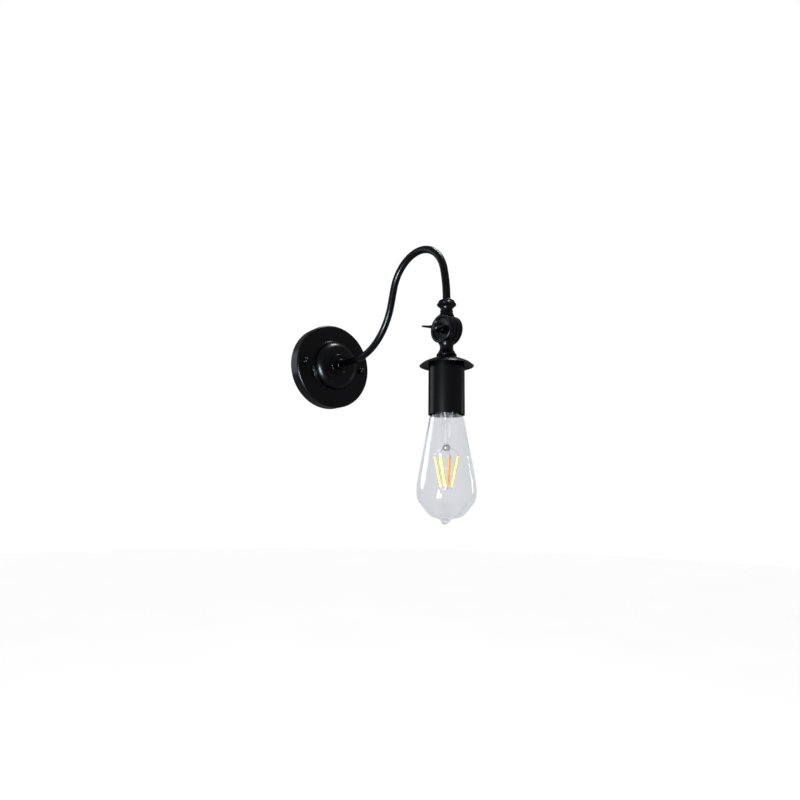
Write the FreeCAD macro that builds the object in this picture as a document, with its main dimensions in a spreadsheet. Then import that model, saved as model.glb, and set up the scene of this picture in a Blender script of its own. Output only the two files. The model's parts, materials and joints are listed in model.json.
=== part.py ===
import FreeCAD, Part
import Sketcher
import math
import os

# Wall lamp: a round wall plate, a gooseneck arm, a clamped knuckle and a hanging lamp head with its bulb.
# The origin is the centre of the plate's back face, on the wall. The wall is the plane y = 0, the lamp
# stands out towards -Y, +Z is up, and the arm lies in the plane x = 0. All lengths are in millimetres.

# Driving dimensions, one sheet row each. "Depth" and "out" are distances from the wall, and "drop" is a
# distance below the knuckle's pivot.
SIZES = {
    # Wall plate, a spun steel shell with a raised dome
    "plate_radius": 60.0,
    "plate_wall": 1.2,
    "rim_depth": 19.0,
    "rim_round": 3.0,
    "foot_radius": 36.5,
    "foot_step": 1.6,
    "foot_ledge": 1.9,
    "dome_depth": 33.0,
    "dome_lean": 1.0,
    "shoulder_round": 12.0,
    "crown_drop": 1.6,
    "crown_radius": 16.0,
    # Rosette and collar at the root of the arm
    "rosette_radius": 15.0,
    "rosette_height": 2.2,
    "rosette_step": 1.0,
    "rosette_inner": 11.0,
    "collar_radius": 7.5,
    "collar_height": 5.0,
    # Gooseneck arm
    "tube_diameter": 9.0,
    "tube_wall": 1.0,
    "arm_start": 22.0,
    "arm_reach": 250.2,
    "first_bend": 78.65,
    "arm_slope_angle": 75.2,
    "arch_radius": 47.8,
    "arch_height": 65.9,
    "fall_radius": 173.6,
    "socket_drop": 24.6,
    # Fasteners inside the plate
    "locknut_flats": 14.0,
    "locknut_height": 4.0,
    "washer_radius": 8.5,
    "washer_height": 0.8,
    "bush_radius": 5.6,
    "bush_flange": 1.5,
    "bush_spigot": 4.0,
    # Wall bracket with its studs and cap nuts
    "bracket_end": 7.0,
    "bracket_width": 20.0,
    "bracket_thick": 2.0,
    "tongue_width": 26.0,
    "tongue_length": 27.0,
    "slot_spacing": 60.0,
    "slot_length": 18.0,
    "slot_width": 5.0,
    "stud_margin": 13.0,
    "stud_diameter": 4.0,
    "stud_length": 23.5,
    "stud_play": 0.3,
    "cap_radius": 4.5,
    "cap_height": 6.2,
    # Terminal block, a nylon body with three brass ways
    "block_length": 30.0,
    "block_height": 16.0,
    "block_depth": 14.0,
    "block_top": 17.0,
    "way_pitch": 9.0,
    "way_diameter": 5.0,
    "way_bore": 2.6,
    "clamp_diameter": 3.0,
    "clamp_offset": 4.5,
    "fixing_diameter": 2.9,
    "earth_across": 13.5,
    "earth_head": 3.4,
    "tag_radius": 3.8,
    "tag_thick": 0.8,
    # Leads
    "flex_diameter": 5.0,
    "core_diameter": 1.9,
    "core_spread": 1.25,
    "core_bend": 5.0,
    # Knuckle: two half discs on one axis, clamped by a wing screw
    "pivot_height": 2.0,
    "disc_radius": 16.5,
    "disc_half": 9.8,
    "disc_edge": 0.7,
    "parting": 0.5,
    "cavity_radius": 12.0,
    "cavity_depth": 3.7,
    "boss_radius": 5.0,
    "face_ring": 13.4,
    "face_dish": 1.6,
    "recess_radius": 6.6,
    "recess_depth": 3.4,
    "neck_gap": 0.5,
    "neck_bore": 7.4,
    "neck_foot": 8.8,
    "neck_waist": 6.8,
    "upper_rim": 11.0,
    "upper_top": 35.2,
    "neck_ring": 14.3,
    "lower_rim": 11.4,
    "lower_drop": 32.4,
    "running_gap": 0.3,
    "friction_thick": 0.7,
    # Wing screw
    "shank_diameter": 5.0,
    "running_fit": 0.05,
    "hub_radius": 4.9,
    "hub_end": 19.6,
    "wing_reach": 18.0,
    "wing_end": 22.7,
    "wing_thick": 1.2,
    "wing_angle": 12.5,
    "spring_washer": 0.9,
    # Lamp head: dish, cup and what hangs in it
    "dish_radius": 30.4,
    "dish_drop": 42.1,
    "dish_wall": 1.2,
    "dish_round": 12.0,
    "seat_radius": 12.0,
    "cup_radius": 20.15,
    "cup_wall": 0.8,
    "cup_drop": 97.2,
    "cup_shoulder": 37.0,
    "nipple_diameter": 9.0,
    "nipple_bore": 6.4,
    "nipple_rise": 12.0,
    "nipple_drop": 54.0,
    "holder_radius": 17.0,
    "holder_top": 54.0,
    "holder_drop": 90.0,
    "holder_mouth": 14.0,
    "holder_floor": 64.0,
    "shell_wall": 0.4,
    "bridge_length": 30.0,
    "bridge_width": 10.0,
    "bridge_thick": 1.5,
    "bridge_boss": 7.0,
    "bridge_screw_across": 22.0,
    "terminal_across": 27.0,
    "slot_depth": 6.0,
    # Bulb
    "cap_diameter": 26.0,
    "cap_drop": 72.5,
    "cap_length": 20.5,
    "cap_pitch": 3.63,
    "tip_rise": 4.0,
    "bulb_radius": 32.0,
    "bulb_neck": 18.6,
    "bulb_shoulder": 98.0,
    "bulb_belly": 174.0,
    "bulb_turn": 189.5,
    "bulb_end": 212.0,
    "belly_round": 60.0,
    "end_round": 18.0,
    "end_radius": 17.5,
    "end_rise": 5.0,
    "tip_round": 12.0,
    "glass_wall": 0.9,
    "filament_diameter": 2.6,
    "filament_top": 142.5,
    "filament_bottom": 175.5,
    "filament_spread": 13.6,
    "filament_waist": 6.3,
    "filament_angle": 24.6,
    "rod_radius": 1.4,
    "bead_radius": 4.6,
    "bead_half": 3.2,
    "bead_drop": 133.4,
    "support_wire": 0.7,
}

FILAMENTS = 4
WAYS = 3
CAP_RIDGES = 4


class Size:
    """A number together with the sheet formula that gives it."""

    def __init__(self, number, formula):
        self.number = number
        self.formula = formula

    def __add__(self, other):
        other = as_size(other)
        return Size(self.number + other.number, f"({self.formula} + {other.formula})")

    def __sub__(self, other):
        other = as_size(other)
        return Size(self.number - other.number, f"({self.formula} - {other.formula})")

    def __mul__(self, other):
        other = as_size(other)
        return Size(self.number * other.number, f"({self.formula} * {other.formula})")

    def __truediv__(self, other):
        other = as_size(other)
        return Size(self.number / other.number, f"({self.formula} / {other.formula})")

    def __radd__(self, other):
        return as_size(other) + self

    def __rsub__(self, other):
        return as_size(other) - self

    def __rmul__(self, other):
        return as_size(other) * self

    def __neg__(self):
        return Size(-self.number, f"(-{self.formula})")


def as_size(value):
    """A bare number as a Size."""
    if isinstance(value, Size):
        return value
    return Size(float(value), repr(float(value)))


def number(value):
    """The plain number of a Size or of a bare number."""
    return as_size(value).number


doc = FreeCAD.newDocument("WallLamp")
sheet = doc.addObject("Spreadsheet::Sheet", "sizes")
for row, (alias, value) in enumerate(SIZES.items(), start=1):
    sheet.set(f"A{row}", alias)
    sheet.set(f"B{row}", str(value))
    sheet.setAlias(f"B{row}", alias)
doc.recompute()


class SheetSizes:
    """Gives each alias of the sheet as a Size."""

    def __getattr__(self, alias):
        return Size(float(sheet.get(alias)), f"sizes.{alias}")


d = SheetSizes()

# Directions: a piece on the wall has its own +Z pointing out of the wall and its own +Y pointing up, and a
# piece on the knuckle's axis has its own +Z pointing towards the wing screw, which is the world's -X.
OUT_OF_WALL = FreeCAD.Rotation(FreeCAD.Vector(1, 0, 0), 90)
TO_WING = FreeCAD.Rotation(FreeCAD.Vector(0, 1, 0), -90)
UPSIDE_DOWN = FreeCAD.Rotation(FreeCAD.Vector(0, 1, 0), 180)
UPRIGHT = FreeCAD.Rotation()

pieces = []


def vector(x, y, z=0.0):
    """A point from Sizes or numbers."""
    return FreeCAD.Vector(number(x), number(y), number(z))


def place(piece, x=0.0, y=0.0, z=0.0, rotation=UPRIGHT):
    """Puts a piece where the sheet says, with the rotation given."""
    piece.Placement = FreeCAD.Placement(vector(x, y, z), rotation)
    for axis, value in (("x", x), ("y", y), ("z", z)):
        if isinstance(value, Size):
            piece.setExpression(f"Placement.Base.{axis}", value.formula)
    pieces.append(piece)
    return piece


def on_wall(piece):
    """A piece drawn from the wall outwards."""
    return place(piece, rotation=OUT_OF_WALL)


def on_pivot(piece, rotation=UPRIGHT):
    """A piece drawn from the knuckle's pivot."""
    return place(piece, y=-d.arm_reach, z=d.pivot_height, rotation=rotation)


def new_body(label):
    """An empty body whose label is its file's name."""
    body = doc.addObject("PartDesign::Body", label)
    body.Label = label
    return body


def origin_plane(body, role):
    """One of the body's own origin planes."""
    return next(item for item in body.Origin.OriginFeatures if item.Role == role)


def new_sketch(body, role="XZ_Plane", x=0.0, y=0.0, lift=0.0):
    """A sketch on the body's own plane, shifted in the plane by x and y and along its normal by lift."""
    sketch = body.newObject("Sketcher::SketchObject", f"{body.Name}_sketch")
    sketch.AttachmentSupport = [(origin_plane(body, role), "")]
    sketch.MapMode = "FlatFace"
    sketch.AttachmentOffset = FreeCAD.Placement(vector(x, y, lift), FreeCAD.Rotation())
    for axis, value in (("x", x), ("y", y), ("z", lift)):
        if isinstance(value, Size):
            sketch.setExpression(f"AttachmentOffset.Base.{axis}", value.formula)
    return sketch


def bind(sketch, kind, geometry, point, value):
    """Dimensions one point or curve of a sketch from the sheet."""
    if kind == "Radius":
        index = sketch.addConstraint(Sketcher.Constraint(kind, geometry, number(value)))
    else:
        index = sketch.addConstraint(Sketcher.Constraint(kind, -1, 1, geometry, point, number(value)))
    if isinstance(value, Size):
        sketch.setExpression(f"Constraints[{index}]", value.formula)


def round_corner(before, corner, after, radius):
    """Where an arc of this radius starts and ends at a corner, and its middle."""
    to_before = (before - corner).normalize()
    to_after = (after - corner).normalize()
    half = to_before.getAngle(to_after) / 2
    reach = radius / math.tan(half)
    centre = corner + (to_before + to_after).normalize() * (radius / math.sin(half))
    start = corner + to_before * reach
    end = corner + to_after * reach
    middle = centre + (corner - centre).normalize() * radius
    return start, middle, end


def outline(sketch, corners):
    """A closed outline through the corners (x, y) or (x, y, radius), each bound to the sheet."""
    points = [vector(corner[0], corner[1]) for corner in corners]
    count = len(points)
    starts = {}
    ends = {}
    arcs = {}
    for i, corner in enumerate(corners):
        starts[i] = ends[i] = points[i]
        if len(corner) > 2:
            start, middle, end = round_corner(points[i - 1], points[i], points[(i + 1) % count], number(corner[2]))
            arc = Part.Arc(start, middle, end)
            arcs[i] = sketch.addGeometry(arc, False)
            starts[i] = start
            ends[i] = end
    lines = []
    for i in range(count):
        line = Part.LineSegment(ends[i], starts[(i + 1) % count])
        lines.append(sketch.addGeometry(line, False))
    for i, corner in enumerate(corners):
        incoming = lines[i - 1]
        outgoing = lines[i]
        if i in arcs:
            first, last = (1, 2) if sketch.getPoint(arcs[i], 1).distanceToPoint(starts[i]) < 1e-6 else (2, 1)
            mark = sketch.addGeometry(Part.Point(points[i]), True)
            sketch.addConstraint(Sketcher.Constraint("Tangent", incoming, 2, arcs[i], first))
            sketch.addConstraint(Sketcher.Constraint("Tangent", outgoing, 1, arcs[i], last))
            sketch.addConstraint(Sketcher.Constraint("PointOnObject", mark, 1, incoming))
            sketch.addConstraint(Sketcher.Constraint("PointOnObject", mark, 1, outgoing))
            bind(sketch, "Radius", arcs[i], 0, corner[2])
            bind(sketch, "DistanceX", mark, 1, corner[0])
            bind(sketch, "DistanceY", mark, 1, corner[1])
        else:
            sketch.addConstraint(Sketcher.Constraint("Coincident", incoming, 2, outgoing, 1))
            bind(sketch, "DistanceX", outgoing, 1, corner[0])
            bind(sketch, "DistanceY", outgoing, 1, corner[1])


def circle(sketch, x, y, radius):
    """A circle whose centre and radius are bound to the sheet."""
    shape = Part.Circle(vector(x, y), FreeCAD.Vector(0, 0, 1), number(radius))
    index = sketch.addGeometry(shape, False)
    bind(sketch, "DistanceX", index, 3, x)
    bind(sketch, "DistanceY", index, 3, y)
    bind(sketch, "Radius", index, 0, radius)


def box_corners(low_x, low_y, high_x, high_y):
    """The corners of an upright rectangle."""
    return [(low_x, low_y), (high_x, low_y), (high_x, high_y), (low_x, high_y)]


def hexagon_corners(flats):
    """The corners of a hexagon of this width across its flats."""
    corners = []
    for k in range(6):
        angle = math.radians(60 * k)
        corners.append((flats * (math.cos(angle) / math.sqrt(3)), flats * (math.sin(angle) / math.sqrt(3))))
    return corners


def feature(body, kind, sketch):
    """Adds one sketch-based feature to the body and makes it the tip."""
    item = body.newObject(kind, f"{body.Name}_{kind.split('::')[1]}")
    item.Profile = sketch
    body.Tip = item
    return item


def revolve(body, corners, about="V_Axis", cut=False, x=0.0, y=0.0, role="XZ_Plane"):
    """Turns an outline a full circle, as material or as a cut."""
    sketch = new_sketch(body, role, x, y)
    outline(sketch, corners)
    item = feature(body, "PartDesign::Groove" if cut else "PartDesign::Revolution", sketch)
    item.ReferenceAxis = (sketch, [about])
    item.Angle = 360
    return item


def pad(body, sketch, length, both_ways=False):
    """Pads a sketch along its normal, or half each way."""
    item = feature(body, "PartDesign::Pad", sketch)
    item.Length = number(length)
    if isinstance(length, Size):
        item.setExpression("Length", length.formula)
    if both_ways:
        item.SideType = "Symmetric"
    return item


def cut_through(body, sketch):
    """Cuts a sketch through the whole body, both ways."""
    item = feature(body, "PartDesign::Pocket", sketch)
    item.Type = "ThroughAll"
    item.SideType = "Symmetric"
    return item


def mirror(body, items, role="YZ_Plane"):
    """Repeats features on the other side of one of the body's planes."""
    twin = body.newObject("PartDesign::Mirrored", f"{body.Name}_mirror")
    twin.Originals = items
    twin.MirrorPlane = (origin_plane(body, role), [""])
    body.Tip = twin
    return twin


def row_of(body, item, spacing, count):
    """Repeats a feature along the body's X axis."""
    line = next(axis for axis in body.Origin.OriginFeatures if axis.Role == "X_Axis")
    pattern = body.newObject("PartDesign::LinearPattern", f"{body.Name}_row")
    pattern.Originals = [item]
    pattern.Direction = (line, [""])
    pattern.Occurrences = count
    pattern.Length = number(spacing) * (count - 1)
    pattern.setExpression("Length", (spacing * (count - 1)).formula)
    body.Tip = pattern
    return pattern


def turned(label, corners):
    """A piece turned about its own Z axis from (radius, height) corners."""
    body = new_body(label)
    revolve(body, corners)
    return body


def ring_corners(inner, outer, low, high):
    """The section of a plain ring or washer."""
    return box_corners(inner, low, outer, high)


def hex_nut(label, flats, height, bore, low):
    """A hexagon nut from low up, with its thread drawn as a plain bore."""
    body = new_body(label)
    sketch = new_sketch(body, "XY_Plane", lift=low)
    outline(sketch, hexagon_corners(flats))
    circle(sketch, 0.0, 0.0, bore)
    pad(body, sketch, height)
    return body


tube_radius = d.tube_diameter / 2
tube_bore = tube_radius - d.tube_wall
thread_play = d.stud_play / 3
stud_radius = d.stud_diameter / 2
stud_x = d.plate_radius - d.stud_margin
core_radius = d.core_diameter / 2
flex_radius = d.flex_diameter / 2


def make_backplate():
    """The spun plate: a deep rim, a flat ring, a stepped foot and a dome with a soft shoulder."""
    wall = d.plate_wall
    inner_depth = d.rim_depth - wall
    side = d.foot_radius - d.foot_ledge
    shoulder = side - d.dome_lean
    shoulder_depth = d.dome_depth - d.crown_drop
    hole = tube_radius + thread_play
    corners = [
        (d.plate_radius, 0.0),
        (d.plate_radius, d.rim_depth, d.rim_round),
        (d.foot_radius, d.rim_depth, 0.5),
        (d.foot_radius, d.rim_depth + d.foot_step, 0.7),
        (side, d.rim_depth + d.foot_step, 0.5),
        (shoulder, shoulder_depth, d.shoulder_round),
        (d.crown_radius, d.dome_depth, 2.0),
        (hole, d.dome_depth),
        (hole, d.dome_depth - wall),
        (d.crown_radius, d.dome_depth - wall, 2.0),
        (shoulder - wall, shoulder_depth - wall, d.shoulder_round - wall),
        (side - wall, inner_depth, 1.0),
        (d.plate_radius - wall, inner_depth, d.rim_round - wall),
        (d.plate_radius - wall, 0.0),
    ]
    body = turned("backplate", corners)
    holes = new_sketch(body, "XY_Plane")
    circle(holes, stud_x, 0.0, stud_radius + d.stud_play)
    circle(holes, -stud_x, 0.0, stud_radius + d.stud_play)
    cut_through(body, holes)
    on_wall(body)


def make_arm_root():
    """What clamps the arm to the plate: rosette and collar in front, washer and locknut behind."""
    crown = d.dome_depth
    top = crown + d.rosette_height
    rosette = turned("arm_rosette", [
        (tube_radius + thread_play, crown),
        (d.rosette_radius, crown),
        (d.rosette_radius, top, 1.0),
        (d.rosette_inner + 1.0, top, 0.5),
        (d.rosette_inner, top - d.rosette_step, 0.4),
        (tube_radius + thread_play, top - d.rosette_step),
    ])
    on_wall(rosette)
    seat = top - d.rosette_step
    collar = turned("arm_collar", [
        (tube_radius, seat),
        (d.collar_radius, seat),
        (d.collar_radius, seat + d.collar_height, 1.6),
        (tube_radius, seat + d.collar_height),
    ])
    on_wall(collar)
    inside = crown - d.plate_wall
    washer_low = inside - d.washer_height
    on_wall(turned("arm_washer", ring_corners(tube_radius, d.washer_radius, washer_low, inside)))
    nut_low = washer_low - d.locknut_height
    on_wall(hex_nut("arm_locknut", d.locknut_flats, d.locknut_height, tube_radius, nut_low))
    start = d.arm_start
    bush = turned("arm_bush", [
        (flex_radius, start - d.bush_flange),
        (d.bush_radius, start - d.bush_flange, 0.6),
        (d.bush_radius, start),
        (tube_bore, start),
        (tube_bore, start + d.bush_spigot),
        (flex_radius, start + d.bush_spigot),
    ])
    on_wall(bush)


def arm_points(first, last):
    """Where the arm's centre line starts, bends and ends, as (y, z), for a path from first to last."""
    slope = math.radians(number(d.arm_slope_angle))
    r_first = number(d.first_bend)
    r_arch = number(d.arch_radius)
    r_fall = number(d.fall_radius)
    arch_z = number(d.arch_height)
    fall_z = number(d.pivot_height + d.upper_top)
    fall_y = r_fall - number(d.arm_reach)
    turn = math.asin((arch_z - fall_z) / (r_fall - r_arch))
    arch_y = fall_y - (r_fall - r_arch) * math.cos(turn)
    leave_y = arch_y + r_arch * math.sin(slope)
    leave_z = arch_z + r_arch * math.cos(slope)
    drop = r_first * (1 - math.cos(slope))
    join_y = leave_y + (leave_z - drop) / math.tan(slope)
    bend_y = join_y + r_first * math.sin(slope)
    return {
        "start": FreeCAD.Vector(-number(first), 0, 0),
        "bend": FreeCAD.Vector(bend_y, 0, 0),
        "bend_centre": FreeCAD.Vector(bend_y, r_first, 0),
        "join": FreeCAD.Vector(join_y, drop, 0),
        "leave": FreeCAD.Vector(leave_y, leave_z, 0),
        "arch_centre": FreeCAD.Vector(arch_y, arch_z, 0),
        "down": FreeCAD.Vector(fall_y - r_fall * math.cos(turn), fall_z + r_fall * math.sin(turn), 0),
        "fall_centre": FreeCAD.Vector(fall_y, fall_z, 0),
        "plumb": FreeCAD.Vector(fall_y - r_fall, fall_z, 0),
        "end": FreeCAD.Vector(fall_y - r_fall, number(last), 0),
    }


def arc_about(centre, start, end):
    """The short way round a centre from start to end, or over its top when they lie either side."""
    radius = (start - centre).Length
    chord = (start - centre).normalize() + (end - centre).normalize()
    middle = centre + chord.normalize() * radius
    return Part.Arc(start, middle, end)


def arm_spine(body, first, last):
    """The gooseneck's centre line in the plane x = 0: run, bend, rise, arch, a slow fall and a plumb end."""
    points = arm_points(first, last)
    sketch = new_sketch(body, "YZ_Plane")
    run = sketch.addGeometry(Part.LineSegment(points["start"], points["bend"]), False)
    bend = sketch.addGeometry(arc_about(points["bend_centre"], points["bend"], points["join"]), False)
    rise = sketch.addGeometry(Part.LineSegment(points["join"], points["leave"]), False)
    arch = sketch.addGeometry(arc_about(points["arch_centre"], points["leave"], points["down"]), False)
    fall = sketch.addGeometry(arc_about(points["fall_centre"], points["down"], points["plumb"]), False)
    tail = sketch.addGeometry(Part.LineSegment(points["plumb"], points["end"]), False)
    chain = [(run, points["start"], points["bend"]), (bend, points["bend"], points["join"]),
             (rise, points["join"], points["leave"]), (arch, points["leave"], points["down"]),
             (fall, points["down"], points["plumb"]), (tail, points["plumb"], points["end"])]
    for (one, _, meet), (two, _, _) in zip(chain, chain[1:]):
        one_end = 2 if sketch.getPoint(one, 2).distanceToPoint(meet) < 0.01 else 1
        two_end = 1 if sketch.getPoint(two, 1).distanceToPoint(meet) < 0.01 else 2
        sketch.addConstraint(Sketcher.Constraint("Tangent", one, one_end, two, two_end))
    sketch.addConstraint(Sketcher.Constraint("Horizontal", run))
    sketch.addConstraint(Sketcher.Constraint("Vertical", tail))
    bind(sketch, "DistanceX", run, 1, -first)
    bind(sketch, "DistanceY", run, 1, 0.0)
    bind(sketch, "Radius", bend, 0, d.first_bend)
    bind(sketch, "Radius", arch, 0, d.arch_radius)
    bind(sketch, "DistanceY", arch, 3, d.arch_height)
    bind(sketch, "Radius", fall, 0, d.fall_radius)
    bind(sketch, "DistanceY", tail, 1, d.pivot_height + d.upper_top)
    bind(sketch, "DistanceX", tail, 2, -d.arm_reach)
    bind(sketch, "DistanceY", tail, 2, last)
    turn = math.radians(180 - number(d.arm_slope_angle))
    index = sketch.addConstraint(Sketcher.Constraint("Angle", -1, 1, rise, 1, turn))
    sketch.setExpression(f"Constraints[{index}]", f"(180 - {d.arm_slope_angle.formula}) * 1 deg")
    return sketch


def swept(body, spine, start, radii):
    """A round section of these radii, outer then bore, swept along the spine."""
    section = new_sketch(body, "XZ_Plane", lift=start)
    for radius in radii:
        circle(section, 0.0, 0.0, radius)
    item = feature(body, "PartDesign::AdditivePipe", section)
    item.Spine = (spine, [f"Edge{k + 1}" for k in range(6)])
    return item


def make_arm():
    """The bent tube from inside the plate to its seat in the upper knuckle, and the flex inside it."""
    arm = new_body("gooseneck_arm")
    arm_end = d.pivot_height + d.socket_drop
    swept(arm, arm_spine(arm, d.arm_start, arm_end), d.arm_start, [tube_radius, tube_bore])
    place(arm)
    flex = new_body("arm_flex")
    flex_start = d.arm_start - d.bush_flange - 1.0
    swept(flex, arm_spine(flex, flex_start, arm_end), flex_start, [flex_radius])
    place(flex)


def make_bracket():
    """The flat bracket on the wall: a bar with slots for the wall screws and a tongue for the block."""
    body = new_body("wall_bracket")
    half = stud_x + d.bracket_end
    edge = d.bracket_width / 2
    tongue = d.tongue_width / 2
    tongue_end = -(edge + d.tongue_length)
    sketch = new_sketch(body, "XY_Plane")
    outline(sketch, [
        (-half, -edge, 3.0), (-tongue, -edge, 2.0), (-tongue, tongue_end, 3.0), (tongue, tongue_end, 3.0),
        (tongue, -edge, 2.0), (half, -edge, 3.0), (half, edge, 3.0), (-half, edge, 3.0),
    ])
    circle(sketch, stud_x, 0.0, stud_radius)
    circle(sketch, -stud_x, 0.0, stud_radius)
    circle(sketch, d.earth_across, 0.0, stud_radius)
    circle(sketch, d.way_pitch / 2, -(d.block_top + d.block_height / 2), d.fixing_diameter / 2)
    pad(body, sketch, d.bracket_thick)
    slots = new_sketch(body, "XY_Plane")
    radius = d.slot_width / 2
    near = (d.slot_spacing - d.slot_length) / 2
    far = (d.slot_spacing + d.slot_length) / 2
    outline(slots, box_corners(near + radius, -radius, far - radius, radius))
    slot = cut_through(body, slots)
    ends = new_sketch(body, "XY_Plane")
    circle(ends, near + radius, 0.0, radius)
    circle(ends, far - radius, 0.0, radius)
    mirror(body, [slot, cut_through(body, ends)])
    on_wall(body)


def make_studs():
    """Two studs fixed in the bracket, and the round cap nuts that hold the plate on them."""
    studs = new_body("bracket_studs")
    stud = revolve(studs, box_corners(0.0, 0.0, stud_radius, d.stud_length), x=stud_x)
    mirror(studs, [stud])
    on_wall(studs)
    nuts = new_body("cap_nuts")
    low = d.rim_depth
    nut = revolve(nuts, [
        (stud_radius, low),
        (d.cap_radius, low),
        (d.cap_radius, low + 1.2, 0.4),
        (d.cap_radius - 0.6, low + 1.6, 0.3),
        (d.cap_radius - 0.6, low + d.cap_height, d.cap_radius - 1.4),
        (0.0, low + d.cap_height),
        (0.0, d.stud_length),
        (stud_radius, d.stud_length),
    ], x=stud_x)
    mirror(nuts, [nut])
    on_wall(nuts)


def make_terminal_block():
    """The nylon block on the tongue, its brass ways, their clamp screws and its fixing screw."""
    low = d.bracket_thick
    top = -d.block_top
    bottom = top - d.block_height
    middle = top - d.block_height / 2
    way_depth = low + d.block_depth / 2
    way_radius = d.way_diameter / 2
    clamp_radius = d.clamp_diameter / 2
    first_x = -d.way_pitch
    front = low + d.block_depth
    well = clamp_radius + 0.5

    block = new_body("terminal_block")
    base = new_sketch(block, "XY_Plane", lift=low)
    outline(base, [
        (-d.block_length / 2, bottom, 1.2), (d.block_length / 2, bottom, 1.2),
        (d.block_length / 2, top, 1.2), (-d.block_length / 2, top, 1.2),
    ])
    pad(block, base, d.block_depth)
    bores = new_sketch(block, "XZ_Plane", x=first_x)
    circle(bores, 0.0, way_depth, way_radius)
    bore = cut_through(block, bores)
    row_of(block, bore, d.way_pitch, WAYS)
    wells = new_sketch(block, "XY_Plane", x=first_x, lift=way_depth)
    circle(wells, 0.0, middle + d.clamp_offset, well)
    circle(wells, 0.0, middle - d.clamp_offset, well)
    deep = feature(block, "PartDesign::Pocket", wells)
    deep.Type = "ThroughAll"
    deep.Reversed = True
    row_of(block, deep, d.way_pitch, WAYS)
    fixing = new_sketch(block, "XY_Plane")
    circle(fixing, d.way_pitch / 2, middle, d.fixing_diameter / 2)
    cut_through(block, fixing)
    on_wall(block)

    ways = new_body("terminal_ways")
    section = new_sketch(ways, "XZ_Plane", x=first_x, lift=-(middle - (d.block_height / 2 - 1.0)))
    circle(section, 0.0, way_depth, way_radius)
    circle(section, 0.0, way_depth, d.way_bore / 2)
    tube = feature(ways, "PartDesign::Pad", section)
    tube.Length = number(d.block_height) - 2.0
    tube.setExpression("Length", (d.block_height - 2.0).formula)
    tube.Reversed = True
    row_of(ways, tube, d.way_pitch, WAYS)
    threads = new_sketch(ways, "XY_Plane", x=first_x, lift=way_depth)
    circle(threads, 0.0, middle + d.clamp_offset, clamp_radius)
    circle(threads, 0.0, middle - d.clamp_offset, clamp_radius)
    tapped = feature(ways, "PartDesign::Pocket", threads)
    tapped.Type = "ThroughAll"
    tapped.Reversed = True
    row_of(ways, tapped, d.way_pitch, WAYS)
    on_wall(ways)

    screws = new_body("terminal_screws")
    shanks = new_sketch(screws, "XY_Plane", x=first_x, lift=way_depth + d.way_bore / 2)
    circle(shanks, 0.0, middle + d.clamp_offset, clamp_radius)
    circle(shanks, 0.0, middle - d.clamp_offset, clamp_radius)
    shank = pad(screws, shanks, d.block_depth / 2 - d.way_bore / 2 - 1.5)
    row_of(screws, shank, d.way_pitch, WAYS)
    on_wall(screws)

    fixing_screw = new_body("block_screw")
    fixing_radius = d.fixing_diameter / 2
    revolve(fixing_screw, [
        (0.0, 0.0),
        (fixing_radius, 0.0),
        (fixing_radius, front),
        (fixing_radius * 1.8, front),
        (fixing_radius * 1.8, front + 1.6, 1.0),
        (0.0, front + 1.6),
    ], x=d.way_pitch / 2, y=0.0)
    place(fixing_screw, z=-(d.block_top + d.block_height / 2), rotation=OUT_OF_WALL)


def make_earth():
    """The earth screw in the bracket, with the ring tag under its head."""
    low = d.bracket_thick
    screw = new_body("earth_screw")
    head_low = low + d.tag_thick
    revolve(screw, [
        (0.0, 0.0),
        (stud_radius, 0.0),
        (stud_radius, head_low),
        (d.earth_head, head_low),
        (d.earth_head, head_low + 2.4, 1.2),
        (0.0, head_low + 2.4),
    ], x=d.earth_across)
    on_wall(screw)
    tag = new_body("earth_tag")
    sketch = new_sketch(tag, "XY_Plane", x=d.earth_across, lift=low)
    circle(sketch, 0.0, 0.0, d.tag_radius)
    circle(sketch, 0.0, 0.0, stud_radius)
    pad(tag, sketch, d.tag_thick)
    barrel = new_sketch(tag, "XY_Plane", x=d.earth_across, lift=low)
    outline(barrel, box_corners(-1.6, -(d.tag_radius + 4.0), 1.6, -(d.tag_radius - 0.3)))
    pad(tag, barrel, d.core_diameter + 0.6)
    on_wall(tag)


def knuckle_half(label, hole, neck):
    """Half a knuckle, drawn with its disc on the +X side and its neck upwards, and clear of the other half."""
    body = new_body(label)
    clear = d.disc_radius + d.neck_gap
    revolve(body, neck)
    revolve(body, box_corners(-3 * d.disc_radius, 0.0, d.parting, clear), about="H_Axis", cut=True)
    face = d.disc_half
    dish = face - d.face_dish
    floor = face - d.recess_depth
    revolve(body, [
        (d.parting, hole),
        (floor, hole),
        (floor, d.recess_radius),
        (dish - 0.6, d.recess_radius, 0.4),
        (dish, d.face_ring - 1.8, 0.6),
        (face, d.face_ring, 0.3),
        (face, d.disc_radius - d.disc_edge, 0.3),
        (face - d.disc_edge, d.disc_radius, 0.4),
        (d.parting, d.disc_radius),
        (d.parting, d.cavity_radius),
        (d.cavity_depth, d.cavity_radius),
        (d.cavity_depth, d.boss_radius),
        (d.parting, d.boss_radius),
    ], about="H_Axis")
    return body


def bore_neck(body, bore_end, socket_radius, socket_end):
    """Opens the neck from the knuckle's hollow, with a wider socket at its far end."""
    bore = d.neck_bore / 2
    start = d.cavity_radius - 2.0
    revolve(body, [
        (0.0, start), (bore, start), (bore, bore_end), (socket_radius, bore_end),
        (socket_radius, socket_end), (0.0, socket_end),
    ], cut=True)


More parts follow.
